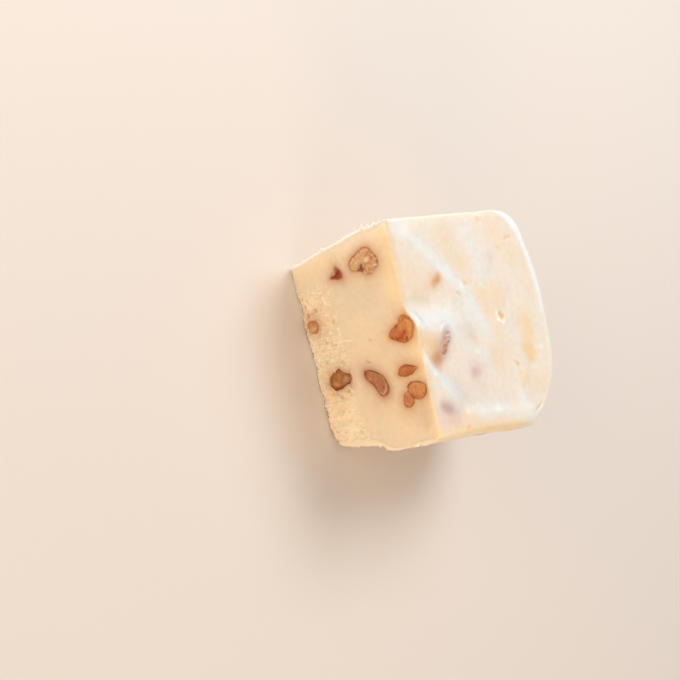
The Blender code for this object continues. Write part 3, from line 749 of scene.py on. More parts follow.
UNDERSIDE_MIDDLE = (0.0, 0.0, 0.5)
# Round a nut the fudge is whole, and it makes a pocket for it.
CLEAN_REACH, CLEAN_SHARE, POCKET_DEPTH, POCKET_RIM = 0.5, 0.8, 0.3, (-0.05, -0.5)
# The bitten lower edge of the cut face: height of the edge at places along it, and how far up and
# back a bite reaches.
FOOT_X = (-24.3, -10.0, -9.4, -8.6, -7.0, -2.0, 14.1, 14.4, 15.2, 16.0, 16.9, 17.4, 20.2, 20.8, 21.75, 22.7,
          23.6, 24.4, 25.4)
FOOT_Z = (0.0, 0.0, 0.35, 0.1, 0.3, 0.12, 0.12, 0.8, 0.4, 0.7, 0.6, 0.15, 0.15, 0.7, 0.9, 0.47, 0.9, 1.5, 2.5)
BITE_RISE, BITE_BACK, TEETH, TEETH_SIZE = 6.0, 3.5, 0.35, 0.5
# How far the rim of the top is folded out, or pinched in, at places along it to the far right corner,
# the heights between which that sets in, how far in over the top it reaches, and where it starts.
FOLD_Y = (-10.0, -2.0, 4.0, 8.0, 13.0, 13.8, 14.6, 17.0, 20.0, 24.0, 28.0)
FOLD_OUT = (0.0, 0.5, 0.9, 1.1, 1.3, 0.8, -1.0, -1.8, -1.5, -0.8, 0.0)
FOLD_RISE, FOLD_REACH, FOLD_FROM_X, PINCH_FORWARD, HALF_WIDTH = (27.0, 33.0), 4.0, (12.0, 20.0), 0.6, 30.0
# Notches that broke out of the upright edge between the cut face and the right end: heights and depths.
NOTCH_Z = (25.4, 26.4, 27.2, 28.6, 29.3, 30.0)
NOTCH_IN = (0.0, 1.0, 0.0, 0.0, 0.8, 0.0)
NOTCH_REACH = 1.0


def once_round():
    """Across and behind, once round the block: cut face, right end, outer side, left end."""
    corners = np.array(((-1.0, 0.0), (1.0, 0.0), (1.0, 1.0), (-1.0, 1.0), (-1.0, 0.0)))
    counts = (CUT_FACE_COLUMNS, END_COLUMNS, OUTER_SIDE_COLUMNS, END_COLUMNS)
    sides = [
        corners[i] + (corners[i + 1] - corners[i]) * (np.arange(n) / n)[:, None]
        for i, n in enumerate(counts)
    ]
    return np.concatenate(sides).T, np.repeat(np.arange(4), counts)


def fudge_grid():
    """The block as rows from the middle of the underside, up the walls and in over the top.

    A row on the underside or the top is the outline shrunk by a share towards the middle."""
    (across, behind), side = once_round()
    shares = np.concatenate((
        np.linspace(0.0, 1.0, UNDERSIDE_ROWS + 1)[1:],
        np.ones(BAND_ROWS + WALL_ROWS + EDGE_ROWS - 1),
        1.0 - np.linspace(0.0, EDGE_SHARE, EDGE_ROWS)[1:],
        np.linspace(1.0 - EDGE_SHARE, 0.0, TOP_ROWS)[1:-1],
    ))
    rises = np.concatenate((
        np.zeros(UNDERSIDE_ROWS),
        np.linspace(0.0, BAND_SHARE, BAND_ROWS + 1)[1:],
        np.linspace(BAND_SHARE, 1.0 - EDGE_SHARE, WALL_ROWS)[1:],
        np.linspace(1.0 - EDGE_SHARE, 1.0, EDGE_ROWS + 1)[1:],
        np.ones(EDGE_ROWS + TOP_ROWS - 3),
    ))
    grid_across = shares[:, None] * across
    grid_behind = 0.5 + shares[:, None] * (behind - 0.5)
    grid_rise = np.broadcast_to(rises[:, None], grid_across.shape)
    return block_surface(grid_across, grid_behind, grid_rise), shares[:, None], rises[:, None], side


def grid_normals(grid):
    """Outward unit normals of a grid closed along its rows: the cross product of its two steps."""
    along = np.roll(grid, -1, axis=1) - np.roll(grid, 1, axis=1)
    normal = np.cross(along, np.gradient(grid, axis=0))
    return normal / np.maximum(np.linalg.norm(normal, axis=-1, keepdims=True), 1e-9)


def balls(points, seed, spacing, share, smallest, largest):
    """How deep in a ball a point lies, 0 to 1: space is cut in cubes, and a share of them hold one.

    A ball's middle is in the inner 60 % of its cube, its radius between the smallest and the largest,
    and its depth one less the distance over the radius. The deepest of the balls around counts."""
    points = points / spacing
    rng = np.random.default_rng(seed)
    places = rng.random((NOISE_SIDE,) * 3 + (3,)) * 0.6 + 0.2
    radii = smallest + (largest - smallest) * rng.random((NOISE_SIDE,) * 3)
    radii = np.where(rng.random((NOISE_SIDE,) * 3) < share, radii, 1e-6)
    cell = np.floor(points).astype(int)
    depth = np.zeros(points.shape[:-1])
    for corner in np.ndindex(3, 3, 3):
        near = cell + np.array(corner) - 1
        i, j, k = np.moveaxis(near % NOISE_SIDE, -1, 0)
        gap = np.linalg.norm(points - near - places[i, j, k], axis=-1)
        depth = np.maximum(depth, 1.0 - gap / radii[i, j, k])
    return depth


def porous(points, side):
    """1 in the ragged porous band, 0 above it and in the smooth left corner of the cut face."""
    climb = BAND_CLIMB * np.clip(points[..., 0] - BAND_CLIMB_FROM_X, 0.0, None) * (side == CUT_SIDE)
    top = BAND_TOP + climb + layered_noise(points, BAND_EDGE_NOISE)
    band = 1.0 - smooth_step(top - BAND_FADE, top + BAND_FADE, points[..., 2])
    ragged_x = points[..., 0] + BAND_RAGGED * fine_noise(points / CORNER_GRAIN) + CORNER_SHIFT
    return band * np.where(side == CUT_SIDE, smooth_step(*SMOOTH_CORNER_X, ragged_x), 1.0)


def torn_crests(points, width):
    """Thin ragged crests, 0 to 1: one less how far a noise is from nought, over a width."""
    return np.clip(1.0 - np.abs(fine_noise(points)) / width, 0.0, 1.0)


# Large pores that show in the cut face, with painted shade in them: (x, z), radius.
LARGE_PORES = (
    ((-11.9, 4.7), 0.7), ((-8.3, 10.0), 0.8), ((-13.7, 8.0), 0.45), ((-10.9, 1.9), 0.50), ((-2.4, 8.0), 0.6),
    ((-3.0, 6.1), 0.50), ((-1.9, 9.3), 0.35), ((2.4, 4.7), 0.6), ((10.8, 9.5), 0.45), ((12.3, 6.6), 0.40),
    ((16.4, 7.8), 0.5), ((18.6, 7.3), 0.9), ((11.0, 3.4), 0.6), ((16.2, 5.8), 0.4), ((22.0, 10.4), 0.5),
    ((0.0, 11.6), 0.25), ((-1.8, 21.1), 0.30), ((3.9, 18.7), 0.30),
)
# Torn ridges in it, which stand out and take a painted highlight: from, to, half-width and height.
PALE_RIDGES = (
    ((-2.8, 9.6), (-2.5, 14.6), 0.22, 0.16), ((1.4, 7.2), (1.9, 10.8), 0.25, 0.16),
    ((20.4, 3.6), (20.9, 8.6), 0.34, 0.24), ((20.9, 8.6), (21.8, 12.0), 0.30, 0.20),
    ((13.8, 4.6), (13.6, 8.2), 0.35, 0.22), ((17.6, 3.2), (18.4, 4.8), 0.40, 0.16),
    ((-16.8, 5.2), (-16.5, 8.6), 0.30, 0.18),
    ((-15.0, 8.4), (-13.4, 9.4), 0.30, 0.18), ((-14.4, 1.8), (-12.6, 3.4), 0.40, 0.20),
    ((-10.4, 6.6), (-10.2, 9.0), 0.30, 0.18), ((-5.6, 8.2), (-4.2, 9.2), 0.25, 0.14),
    ((9.8, 9.4), (11.0, 11.4), 0.35, 0.22), ((10.6, 6.4), (11.6, 8.2), 0.40, 0.22),
    ((12.2, 8.6), (12.6, 10.8), 0.30, 0.18), ((22.8, 8.2), (23.2, 10.6), 0.30, 0.14),
    ((15.0, 9.0), (17.4, 9.2), 0.25, 0.10), ((5.6, 12.4), (7.6, 12.6), 0.30, 0.20),
    ((7.6, 12.6), (8.9, 11.9), 0.25, 0.18), ((3.4, 6.0), (3.6, 8.4), 0.22, 0.12),
)


def pore_depth(x, z):
    """How deep each point of the cut face lies in one of its large pores, 0 to 1."""
    depth = np.zeros_like(x)
    for middle, radius in LARGE_PORES:
        gap = np.hypot(x - middle[0], z - middle[1])
        depth = np.maximum(depth, 1.0 - gap / (SEEN_PORE_FLARE * radius))
    return depth


# Colours of the fudge, and strokes of them on its faces: from, to, half-width and strength. White and
# ivory are painted highlights where light catches the top's waves, lips, pits and left edge and the
# edges of the cut face; pale on the top is painted sheen and off the top fat bloom; apricot is painted
# warm bounce light.
CUT_CREAM, SKIN_CREAM, PORE_SHADE_TAN = (0.79, 0.655, 0.475), (0.89, 0.785, 0.675), (0.70, 0.47, 0.24)
GRAIN, TAN_SHADE = (0.94, 0.82, 0.62), (0.66, 0.42, 0.26)
VIOLET, BOUNCE_LIGHT_APRICOT = (0.55, 0.42, 0.50), (0.99, 0.72, 0.42)
PALE_SHEEN_AND_BLOOM, HIGHLIGHT_WHITE, PEACH, BUTTER = (0.85, 0.86, 0.85), (0.93, 0.94, 0.93), (0.91, 0.70, 0.49), (0.93, 0.66, 0.36)
HONEY, HIGHLIGHT_IVORY, STRAW, OLIVE = (0.97, 0.65, 0.27), (0.92, 0.84, 0.70), (0.92, 0.735, 0.45), (0.60, 0.44, 0.20)
ROSE, LILAC, PLUM, VEIL_GREY = (0.86, 0.67, 0.62), (0.66, 0.60, 0.66), (0.56, 0.32, 0.30), (0.64, 0.57, 0.49)
TOFFEE, TERRACOTTA, UMBER_STAIN = (0.76, 0.40, 0.19), (0.64, 0.28, 0.14), (0.50, 0.25, 0.10)
TOP_STROKES = (
    (PALE_SHEEN_AND_BLOOM, (-30.0, -27.0), (-17.5, -14.0), 2.6, 0.7),
    (PALE_SHEEN_AND_BLOOM, (-17.0, -13.5), (-14.5, -10.5), 1.5, 0.8),
    (PALE_SHEEN_AND_BLOOM, (-14.0, -10.0), (-3.0, -1.0), 2.4, 0.8),
    (PALE_SHEEN_AND_BLOOM, (-3.0, -1.0), (5.0, 2.5), 2.2, 0.6),
    (PALE_SHEEN_AND_BLOOM, (-4.5, -27.0), (-3.2, -15.0), 3.0, 0.9),
    (PALE_SHEEN_AND_BLOOM, (-3.0, -13.0), (-1.0, -6.0), 3.0, 0.5),
    (PALE_SHEEN_AND_BLOOM, (5.0, -10.5), (10.0, -2.5), 1.8, 0.6),
    (PALE_SHEEN_AND_BLOOM, (6.0, -29.0), (17.0, -19.0), 2.0, 0.85),
    (PALE_SHEEN_AND_BLOOM, (22.0, -13.0), (24.5, 0.0), 2.4, 0.5),
    (PALE_SHEEN_AND_BLOOM, (27.6, 1.0), (29.2, 12.6), 1.4, 0.8),
    (PALE_SHEEN_AND_BLOOM, (21.0, 11.4), (26.0, 9.6), 1.5, 0.6),
    (PALE_SHEEN_AND_BLOOM, (-25.0, 1.0), (-12.0, 5.0), 4.0, 0.45),
    (HIGHLIGHT_WHITE, (-10.6, -5.4), (-8.2, -5.6), 0.9, 0.6),
    (HIGHLIGHT_WHITE, (-15.4, -13.2), (-14.0, -9.8), 1.5, 0.5),
    (HIGHLIGHT_WHITE, (-9.4, 3.0), (-8.2, 4.2), 0.6, 0.8),
    (HIGHLIGHT_WHITE, (11.2, 20.6), (11.8, 23.4), 0.45, 0.6),
    (HIGHLIGHT_IVORY, (-29.0, -22.0), (-29.0, 4.0), 2.0, 0.5),
    (HIGHLIGHT_IVORY, (-27.8, 2.0), (-27.2, 15.0), 0.7, 0.6),
    (PEACH, (-24.0, -8.0), (-17.0, -5.0), 4.0, 0.5),
    (PEACH, (-6.4, 2.0), (-4.4, 10.0), 3.2, 0.3),
    (PEACH, (-1.0, 4.0), (3.0, 5.0), 2.2, 0.5),
    (PEACH, (9.0, 2.0), (14.0, 5.0), 3.5, 0.15),
    (PEACH, (17.0, 13.5), (20.5, 19.0), 2.8, 0.2),
    (PEACH, (-24.0, 13.0), (-15.0, 19.0), 3.5, 0.5),
    (PEACH, (-14.0, 22.0), (-4.0, 24.0), 2.4, 0.3),
    (BUTTER, (-18.0, -28.0), (-11.0, -22.0), 4.2, 0.3),
    (PEACH, (22.5, -28.0), (24.5, -14.0), 2.4, 0.6),
    (BUTTER, (1.0, 19.5), (7.0, 18.5), 2.8, 0.2),
    (BUTTER, (10.4, 15.6), (12.6, 17.4), 1.8, 0.5),
    (BUTTER, (0.6, -27.5), (3.6, -22.5), 2.4, 0.6),
    (BUTTER, (4.0, -26.5), (6.5, -23.5), 2.6, 0.5),
    (BUTTER, (-10.9, -4.2), (-10.6, -1.4), 0.7, 0.45),
    (UMBER_STAIN, (12.0, -30.2), (14.0, -30.2), 0.7, 0.45),
    (STRAW, (16.0, -30.0), (25.0, -29.4), 1.3, 0.6),
    (HONEY, (0.0, 8.4), (0.8, 9.0), 0.9, 0.8),
    (OLIVE, (0.9, 8.6), (1.2, 9.2), 0.35, 0.4),
    (STRAW, (-9.0, -8.6), (-7.8, -6.4), 0.5, 0.45),
    (BUTTER, (13.7, 10.3), (14.1, 10.6), 0.6, 0.7),
    (PEACH, (17.0, 12.6), (19.6, 10.6), 1.2, 0.6),
    (STRAW, (-26.8, 7.4), (-26.2, 7.6), 0.8, 0.7),
    (BUTTER, (-20.2, 20.4), (-19.8, 17.8), 0.6, 0.5),
    (BUTTER, (-18.4, 13.2), (-17.0, 14.6), 0.5, 0.4),
    (LILAC, (-16.0, 9.5), (-12.5, 8.0), 2.6, 0.18),
    (VEIL_GREY, (-16.6, 9.2), (-15.6, 9.8), 1.0, 0.18),
    (VEIL_GREY, (-6.2, 13.9), (-5.6, 14.1), 0.6, 0.3),
    (HIGHLIGHT_WHITE, (-0.9, 6.9), (1.4, 7.0), 0.4, 0.8),
    (HIGHLIGHT_WHITE, (1.4, 7.0), (2.6, 9.0), 0.4, 0.8),
    (PEACH, (-13.4, -16.0), (-13.0, -18.5), 2.4, 0.6),
    (TOFFEE, (-13.8, -14.8), (-12.8, -16.4), 1.5, 0.85),
    (TERRACOTTA, (-13.2, -14.9), (-13.1, -15.1), 0.5, 0.5),
    (TOFFEE, (4.4, -21.5), (7.2, -25.0), 2.6, 0.5),
    (TERRACOTTA, (4.4, -19.6), (6.4, -22.8), 1.6, 0.75),
    (TERRACOTTA, (6.4, -22.8), (7.2, -24.6), 1.8, 0.50),
    # Painted highlights in white and lilac on the curled lip of skin beside the nut under the top.
    (LILAC, (-0.9, -16.0), (-0.5, -18.6), 0.6, 0.5),
    (HIGHLIGHT_WHITE, (-1.9, -17.0), (-1.6, -19.0), 0.28, 0.8),
    (HIGHLIGHT_WHITE, (-1.6, -19.0), (-0.2, -20.7), 0.28, 0.8),
    (LILAC, (-2.4, -17.4), (-2.0, -19.6), 0.3, 0.35),
    (ROSE, (0.4, -20.2), (0.8, -21.0), 0.6, 0.6),
    (PLUM, (18.7, -25.2), (20.4, -22.4), 1.6, 0.60),
    (VIOLET, (20.2, -23.4), (21.2, -19.8), 1.7, 0.34),
    (PLUM, (12.6, -7.8), (12.8, -9.2), 1.8, 0.48),
    (ROSE, (22.6, -26.0), (23.4, -20.0), 1.8, 0.55),
    (ROSE, (10.0, -8.6), (12.2, -5.0), 1.8, 0.35),
    (VEIL_GREY, (0.6, -7.4), (2.6, -6.4), 2.0, 0.4),
    (LILAC, (15.0, -17.4), (18.0, -15.6), 2.6, 0.32),
    # Painted highlight in white on the curled lip of skin beside the nut in the cut edge, with painted shade
    # in lilac above it.
    (LILAC, (-6.2, -27.2), (-4.4, -26.4), 1.0, 0.4),
    (HIGHLIGHT_WHITE, (-6.6, -28.8), (-4.8, -28.0), 0.3, 0.7),
    (HIGHLIGHT_WHITE, (-4.8, -28.0), (-3.4, -29.4), 0.3, 0.7),
    (TOFFEE, (26.0, -16.4), (26.1, -17.0), 0.40, 0.7),
    (OLIVE, (29.7, 5.7), (29.7, 5.3), 0.4, 0.5),
    (OLIVE, (27.4, 16.6), (27.9, 13.7), 0.30, 0.35),
    (PEACH, (4.6, 3.0), (5.4, 5.5), 2.0, 0.40),
    (PALE_SHEEN_AND_BLOOM, (-2.0, -14.5), (0.5, -13.0), 1.8, 0.85),
    (ROSE, (19.0, -28.4), (23.0, -27.6), 1.6, 0.30),
    (PALE_SHEEN_AND_BLOOM, (9.0, -26.4), (12.6, -24.4), 1.6, 0.60),
    (PEACH, (22.6, -23.6), (24.2, -20.6), 1.8, 0.40),
    (PLUM, (19.6, -24.4), (20.4, -23.2), 1.4, 0.20),
    (TAN_SHADE, (14.8, -8.6), (17.4, -7.0), 1.8, 0.10),
    (TAN_SHADE, (23.0, -22.6), (24.4, -20.6), 1.8, 0.10),
    (TAN_SHADE, (4.4, -9.4), (6.6, -7.6), 2.0, 0.08),
    (PEACH, (8.6, 7.6), (11.6, 9.4), 2.4, 0.25),
    (PEACH, (-16.6, -2.2), (-13.6, -0.2), 2.2, 0.30),
    (HIGHLIGHT_WHITE, (21.6, 8.2), (24.0, 9.0), 1.8, 0.35),
)
# Patches of the top's own warmer colour with a clearer edge, which is where the painted sheen stops:
# from, to, half-width, softness of the edge and strength.
TOP_PATCHES = (
    (PEACH, (-5.3, 3.5), (-5.3, 8.0), 4.5, 1.0, 0.40),
    (PEACH, (10.8, 2.8), (11.2, 3.0), 3.5, 1.0, 0.40),
    (PEACH, (20.0, 12.8), (20.4, 20.0), 3.7, 1.2, 0.30),
    (BUTTER, (4.0, 18.9), (12.4, 18.2), 2.3, 1.9, 0.50),
    (BUTTER, (12.4, 17.6), (13.4, 18.4), 2.1, 1.0, 0.42),
)
# On the cut face, ivory along the top edge and the upper left edge is a painted highlight where light catches
# them.
CUT_FACE_STROKES = (
    (HIGHLIGHT_IVORY, (-31.0, 35.4), (-12.0, 35.6), 1.1, 0.35),
    (HIGHLIGHT_IVORY, (-29.6, 34.0), (-26.8, 19.5), 2.4, 0.75),
    (STRAW, (-27.0, 32.6), (-14.0, 32.2), 3.2, 0.55),
    (STRAW, (-14.0, 32.6), (-8.0, 33.8), 2.0, 0.32),
    (STRAW, (0.8, 35.0), (10.0, 36.4), 1.8, 0.5),
    (STRAW, (17.0, 35.8), (25.0, 36.0), 1.8, 0.4),
    (TAN_SHADE, (19.5, 33.5), (22.0, 33.5), 2.0, 0.35),
    (TAN_SHADE, (-0.5, 24.0), (2.5, 26.0), 2.4, 0.12),
    ((0.45, 0.15, 0.09), (-21.0, 14.3), (-20.5, 13.7), 0.5, 0.65),
    (STRAW, (15.0, 10.0), (24.0, 5.0), 3.5, 0.20),
    (TAN_SHADE, (-10.6, 5.2), (-8.6, 5.0), 1.2, 0.20),
    (TAN_SHADE, (-8.5, 6.5), (-5.0, 6.5), 1.8, 0.10),
    (TAN_SHADE, (-19.2, 18.4), (-18.6, 17.4), 1.6, 0.45),
    (BUTTER, (-0.2, 35.4), (0.8, 33.4), 0.7, 0.45),
    (PEACH, (17.0, 1.5), (24.0, 2.5), 2.6, 0.55),
    (BUTTER, (12.0, 4.0), (20.0, 8.0), 3.0, 0.10),
    (STRAW, (-25.6, 16.0), (-22.6, 2.0), 3.4, 0.4),
    (STRAW, (-6.0, 20.0), (22.0, 25.0), 4.0, 0.18),
    (VEIL_GREY, (-28.4, 19.5), (-26.8, 16.5), 1.6, 0.15),
    (VEIL_GREY, (-15.0, 17.0), (-12.0, 24.0), 3.4, 0.25),
    (VEIL_GREY, (19.8, 33.2), (20.6, 33.6), 1.8, 0.2),
    (OLIVE, (3.6, 18.5), (4.0, 18.9), 0.30, 0.55),
    (OLIVE, (-2.0, 21.0), (-1.6, 21.3), 0.40, 0.3),
    (HONEY, (-1.9, 27.6), (-1.3, 26.2), 0.42, 0.75),
    (ROSE, (8.0, 13.4), (8.6, 15.6), 1.8, 0.35),
    (ROSE, (5.4, 16.6), (5.0, 19.5), 0.8, 0.4),
    (UMBER_STAIN, (-11.4, 1.9), (-10.6, 2.0), 0.42, 0.75),
    (TOFFEE, (-10.4, 2.0), (-9.4, 1.7), 0.35, 0.7),
    (TOFFEE, (-12.4, 4.9), (-12.0, 4.4), 0.60, 0.5),
    (OLIVE, (16.9, 8.0), (17.1, 8.2), 0.28, 0.6),
    (BUTTER, (15.4, 7.4), (16.8, 7.7), 0.5, 0.6),
    (BUTTER, (18.0, 7.3), (19.2, 7.2), 0.9, 0.6),
    (BUTTER, (10.2, 4.2), (11.8, 2.6), 0.6, 0.5),
    (UMBER_STAIN, (12.2, 6.6), (12.5, 6.7), 0.25, 0.6),
    (UMBER_STAIN, (10.2, 9.8), (11.2, 9.4), 0.2, 0.5),
    (GRAIN, (8.6, 15.0), (23.6, 1.2), 1.5, 0.2),
    (GRAIN, (17.4, 8.4), (22.0, 8.0), 2.6, 0.35),
    (GRAIN, (1.6, 6.4), (3.2, 6.0), 1.4, 0.35),
)
# Where the skin sets in: behind the cut, back along the ends, and where the top rolls over the right.
RAGGED_GRAIN, SKIN_BEHIND_CUT, SKIN_RAGGED = 2.6, (0.0, 2.6), 0.5
END_SKIN_Y, END_SKIN_RAGGED, ROLLED_OVER_Z = (1.0, 10.0), 2.5, (31.0, 35.0)
# The crumb's colour by how far it stands out, as painted shade in its hollows and painted highlight
# where it stands out, painted shade in the large pores and painted highlight on the ridges, and the drag
# lines of the knife.
RAISED_RANGE, CRUMB_TINT, PORE_SHADE, RIDGE_HIGHLIGHT, RIDGE_HIGHLIGHT_LIMIT = (-0.25, 0.34), 0.70, 0.85, 4.0, 0.8
DRAG, DRAG_WIDTH, DRAG_LENGTH = 0.014, 0.45, 8.0
FINE_DRAG, FINE_DRAG_GRAIN = 0.6, (0.9, 0.9, 5.0)
# Washes over whole faces: fat bloom, painted warm bounce light on the right end and the top's right
# rim, and painted highlights along the top's rims, the outer side's shoulder and the left edges of the
# cut face and the left end. The strength of each, then the places between which it sets in or fades.
PATCH_RAGGED, PATCH_GRAIN = 0.5, 1.6
BLOOM, BLOOM_GRAIN, BLOOM_RANGE = 0.35, 7.0, (0.1, 0.8)
RIM_BOUNCE_LIGHT, RIM_BOUNCE_IN, RIM_BOUNCE_Y = 0.75, (4.0, 0.8), (12.0, 4.0)
END_BOUNCE_LIGHT, END_BOUNCE_Z = 0.40, (20.0, 34.0)
OUTER_RIM, LEFT_RIM, LEFT_RIM_HIGHLIGHT = (0.82, 0.90), (0.93, 0.975), 0.3
RIM_IVORY_X, RIM_END_X = (-6.0, 8.0), (26.0, 16.0)
SHOULDER_HIGHLIGHT, SHOULDER_Z, SHOULDER_END_X = 0.7, (27.0, 35.0), (24.0, 12.0)
LEFT_EDGE_HIGHLIGHT, LEFT_EDGE_REACH, LEFT_END_HIGHLIGHT, LEFT_END_REACH = 0.7, 1.6, 0.8, 1.0

grid, shares, rises, side = fudge_grid()
side = np.broadcast_to(side, grid.shape[:2])
x, y, z = np.moveaxis(grid, -1, 0)
on_wall = (shares > 1.0 - 1e-9) & (rises < 1.0)
on_top = np.broadcast_to(rises >= 1.0, x.shape)
on_cut, on_right = on_wall & (side == CUT_SIDE), on_wall & (side == RIGHT_SIDE)
on_back, on_left = on_wall & (side == OUTER_SIDE), on_wall & (side == LEFT_SIDE)
crumb = np.where(on_wall, porous(grid, side), rises == 0.0)

# How near each point is to a nut: the fudge keeps whole there, makes a pocket for it and takes its stain.
# Between two nuts the stain's colour goes over from the one's to the other's.
stain, stain_weight, stain_sum = np.zeros(x.shape), np.full(x.shape, 1e-9), np.zeros(x.shape + (3,))
clean, pocket = np.zeros(x.shape), np.zeros(x.shape)
for nuts, on_face, p, q in (
    (CUT_FACE_PECANS, on_cut, x, z),
    (RIGHT_END_PECANS, on_right, y, z),
    (LEFT_END_PECANS, on_left, y, z),
    (TOP_PECANS, on_top, x, y),
):
    for nut in nuts:
        gap = gap_to_nut(nut, p[on_face], q[on_face])
        tint, strength, reach = nut["stain"]
        share = strength * np.exp(-np.clip(gap, 0.0, None) / reach)
        stain_sum[on_face] += share[:, None] ** 3 * tint
        stain_weight[on_face] += share**3
        stain[on_face] = np.maximum(stain[on_face], share)
        clean[on_face] = np.maximum(clean[on_face], smooth_step(CLEAN_REACH, 0.0, gap))
        pocket[on_face] = np.maximum(pocket[on_face], smooth_step(*POCKET_RIM, gap))

# The relief: crags, lumps, torn crests and pores in the crumb, faint waves on the walls, ripples on the
# top and pits in the underside. The knife closed the crumb a little on the right of the cut face.
closed = np.where(side == CUT_SIDE, 1.0 - CLOSED_SHARE * smooth_step(*CLOSED_X, x), 1.0)
band = on_wall * (1.0 - smooth_step(BAND_LEVEL_SHARE * BAND_HEIGHT, BAND_HEIGHT, z))
band = band * np.where(side == CUT_SIDE, smooth_step(*SMOOTH_CORNER_X, x), 1.0)
crags = BAND_DEPTH * band * (crag_noise(grid / BAND_CRUMB) - PIT_SHARE)
torn = LUMP_HEIGHT * smooth_step(*LUMP_ROUNDING, balls(grid, *LUMPS))
torn = torn + CREST_HEIGHT * torn_crests(grid / CREST_GRAIN, CREST_WIDTH)
for depth, pores in ((WIDE_PORE_DEPTH, WIDE_PORES), (FINE_PORE_DEPTH, FINE_PORES)):
    torn = torn - depth * smooth_step(*PORE_ROUNDING, balls(grid, *pores))
torn = closed * torn
seen_pores = np.where(on_cut, smooth_step(*SEEN_PORE_ROUNDING, pore_depth(x, z)), 0.0)
ridges = np.zeros(x.shape)
for ridge in PALE_RIDGES:
    ridges = np.maximum(ridges, on_cut * wave(x, z, *ridge))
wall_relief = faint_waves(grid) + (1.0 - CLEAN_SHARE * clean) * (crags + crumb * torn)
wall_relief = wall_relief + ridges - SEEN_PORE_DEPTH * seen_pores
wall_share = on_wall * (1.0 - smooth_step(1.0 - 2.0 * EDGE_SHARE, 1.0, rises))
top_share = on_top * smooth_step(1.0, 1.0 - EDGE_SHARE, shares)
pit_share = UNDERSIDE_PITS * (rises == 0.0) * smooth_step(*UNDERSIDE_RIM, shares)
relief = wall_share * wall_relief + top_share * top_relief(x, y)
relief = relief - pit_share * (1.0 + fine_noise(grid / UNDERSIDE_GRAIN)) - POCKET_DEPTH * pocket
normals = grid_normals(grid)
normals[UNDERSIDE_ROWS - 1] = normals[UNDERSIDE_ROWS]
fudge_points = grid + normals * relief[..., None]

# The bites out of the foot, the folded rim and the notches, each a shift of the points near it.
behind_cut = y - cut_face_y(x, z)
teeth = TEETH * np.clip(fine_noise(np.stack((x, 0.0 * x, 0.0 * x), axis=-1) / TEETH_SIZE), 0.0, 1.0)
bite = (np.interp(x, FOOT_X, FOOT_Z) + teeth) * np.exp(-((behind_cut / BITE_BACK) ** 2))
fudge_points[..., 2] = np.maximum(fudge_points[..., 2] + bite * smooth_step(BITE_RISE, 0.0, z), 0.0)
fold = np.interp(y, FOLD_Y, FOLD_OUT) * smooth_step(*FOLD_FROM_X, x) * smooth_step(*FOLD_RISE, z)
fold = fold * np.exp(-(((1.0 - shares) * HALF_WIDTH / FOLD_REACH) ** 2))
fudge_points[..., 0] += fold
fudge_points[..., 1] += PINCH_FORWARD * np.minimum(fold, 0.0)
from_edge = np.hypot(right_end_x(y, z) - x, behind_cut)
fudge_points[..., 0] -= np.interp(z, NOTCH_Z, NOTCH_IN) * np.exp(-((from_edge / NOTCH_REACH) ** 2))

# The skin is 1 on the glossy top and outer side, and 0 where the knife or the tray left the fudge bare.
ragged = fine_noise(grid / RAGGED_GRAIN)
skin = np.where(on_top, smooth_step(*SKIN_BEHIND_CUT, behind_cut + SKIN_RAGGED * ragged), 0.0)
skin = np.where(on_back, 1.0 - crumb, skin)
end_skin = (1.0 - crumb) * smooth_step(*END_SKIN_Y, y + END_SKIN_RAGGED * ragged)
skin = np.where(on_right | on_left, end_skin, skin)
skin = np.maximum(skin, smooth_step(*ROLLED_OVER_Z, z) * on_right)

# The colour: cream where the fudge is cut or has its skin, the crumb with painted shade in its hollows
# and painted highlight where it stands out, the drag lines of the knife, painted shade in the pores and
# painted highlight on the ridges, then strokes and patches, washes over whole faces, and last the
# stains of the nuts.
crumb_colour = mix(PORE_SHADE_TAN, GRAIN, smooth_step(*RAISED_RANGE, torn))
colour = mix(mix(CUT_CREAM, SKIN_CREAM, skin), crumb_colour, CRUMB_TINT * crumb * closed)
drag = fine_noise(np.stack((x / DRAG_WIDTH, y * 0.0, z / DRAG_LENGTH), axis=-1))
drag = drag + FINE_DRAG * fine_noise(grid / FINE_DRAG_GRAIN)
colour = colour * (1.0 + DRAG * on_cut * (1.0 - crumb) * drag)[..., None]
colour = mix(colour, PORE_SHADE_TAN, PORE_SHADE * seen_pores)
colour = mix(colour, GRAIN, np.clip(RIDGE_HIGHLIGHT * ridges, 0.0, RIDGE_HIGHLIGHT_LIMIT))
for tint, *stroke in TOP_STROKES:
    colour = mix(colour, tint, on_top * np.clip(wave(x, y, *stroke), 0.0, 1.0))
for tint, *stroke in CUT_FACE_STROKES:
    colour = mix(colour, tint, on_cut * np.clip(wave(x, z, *stroke), 0.0, 1.0))
for tint, start, end, half_width, softness, strength in TOP_PATCHES:
    gap = line_gap(x, y, start, end) + PATCH_RAGGED * fine_noise(grid / PATCH_GRAIN)
    edge = smooth_step(half_width + softness, half_width - softness, gap)
    colour = mix(colour, tint, strength * on_top * edge)
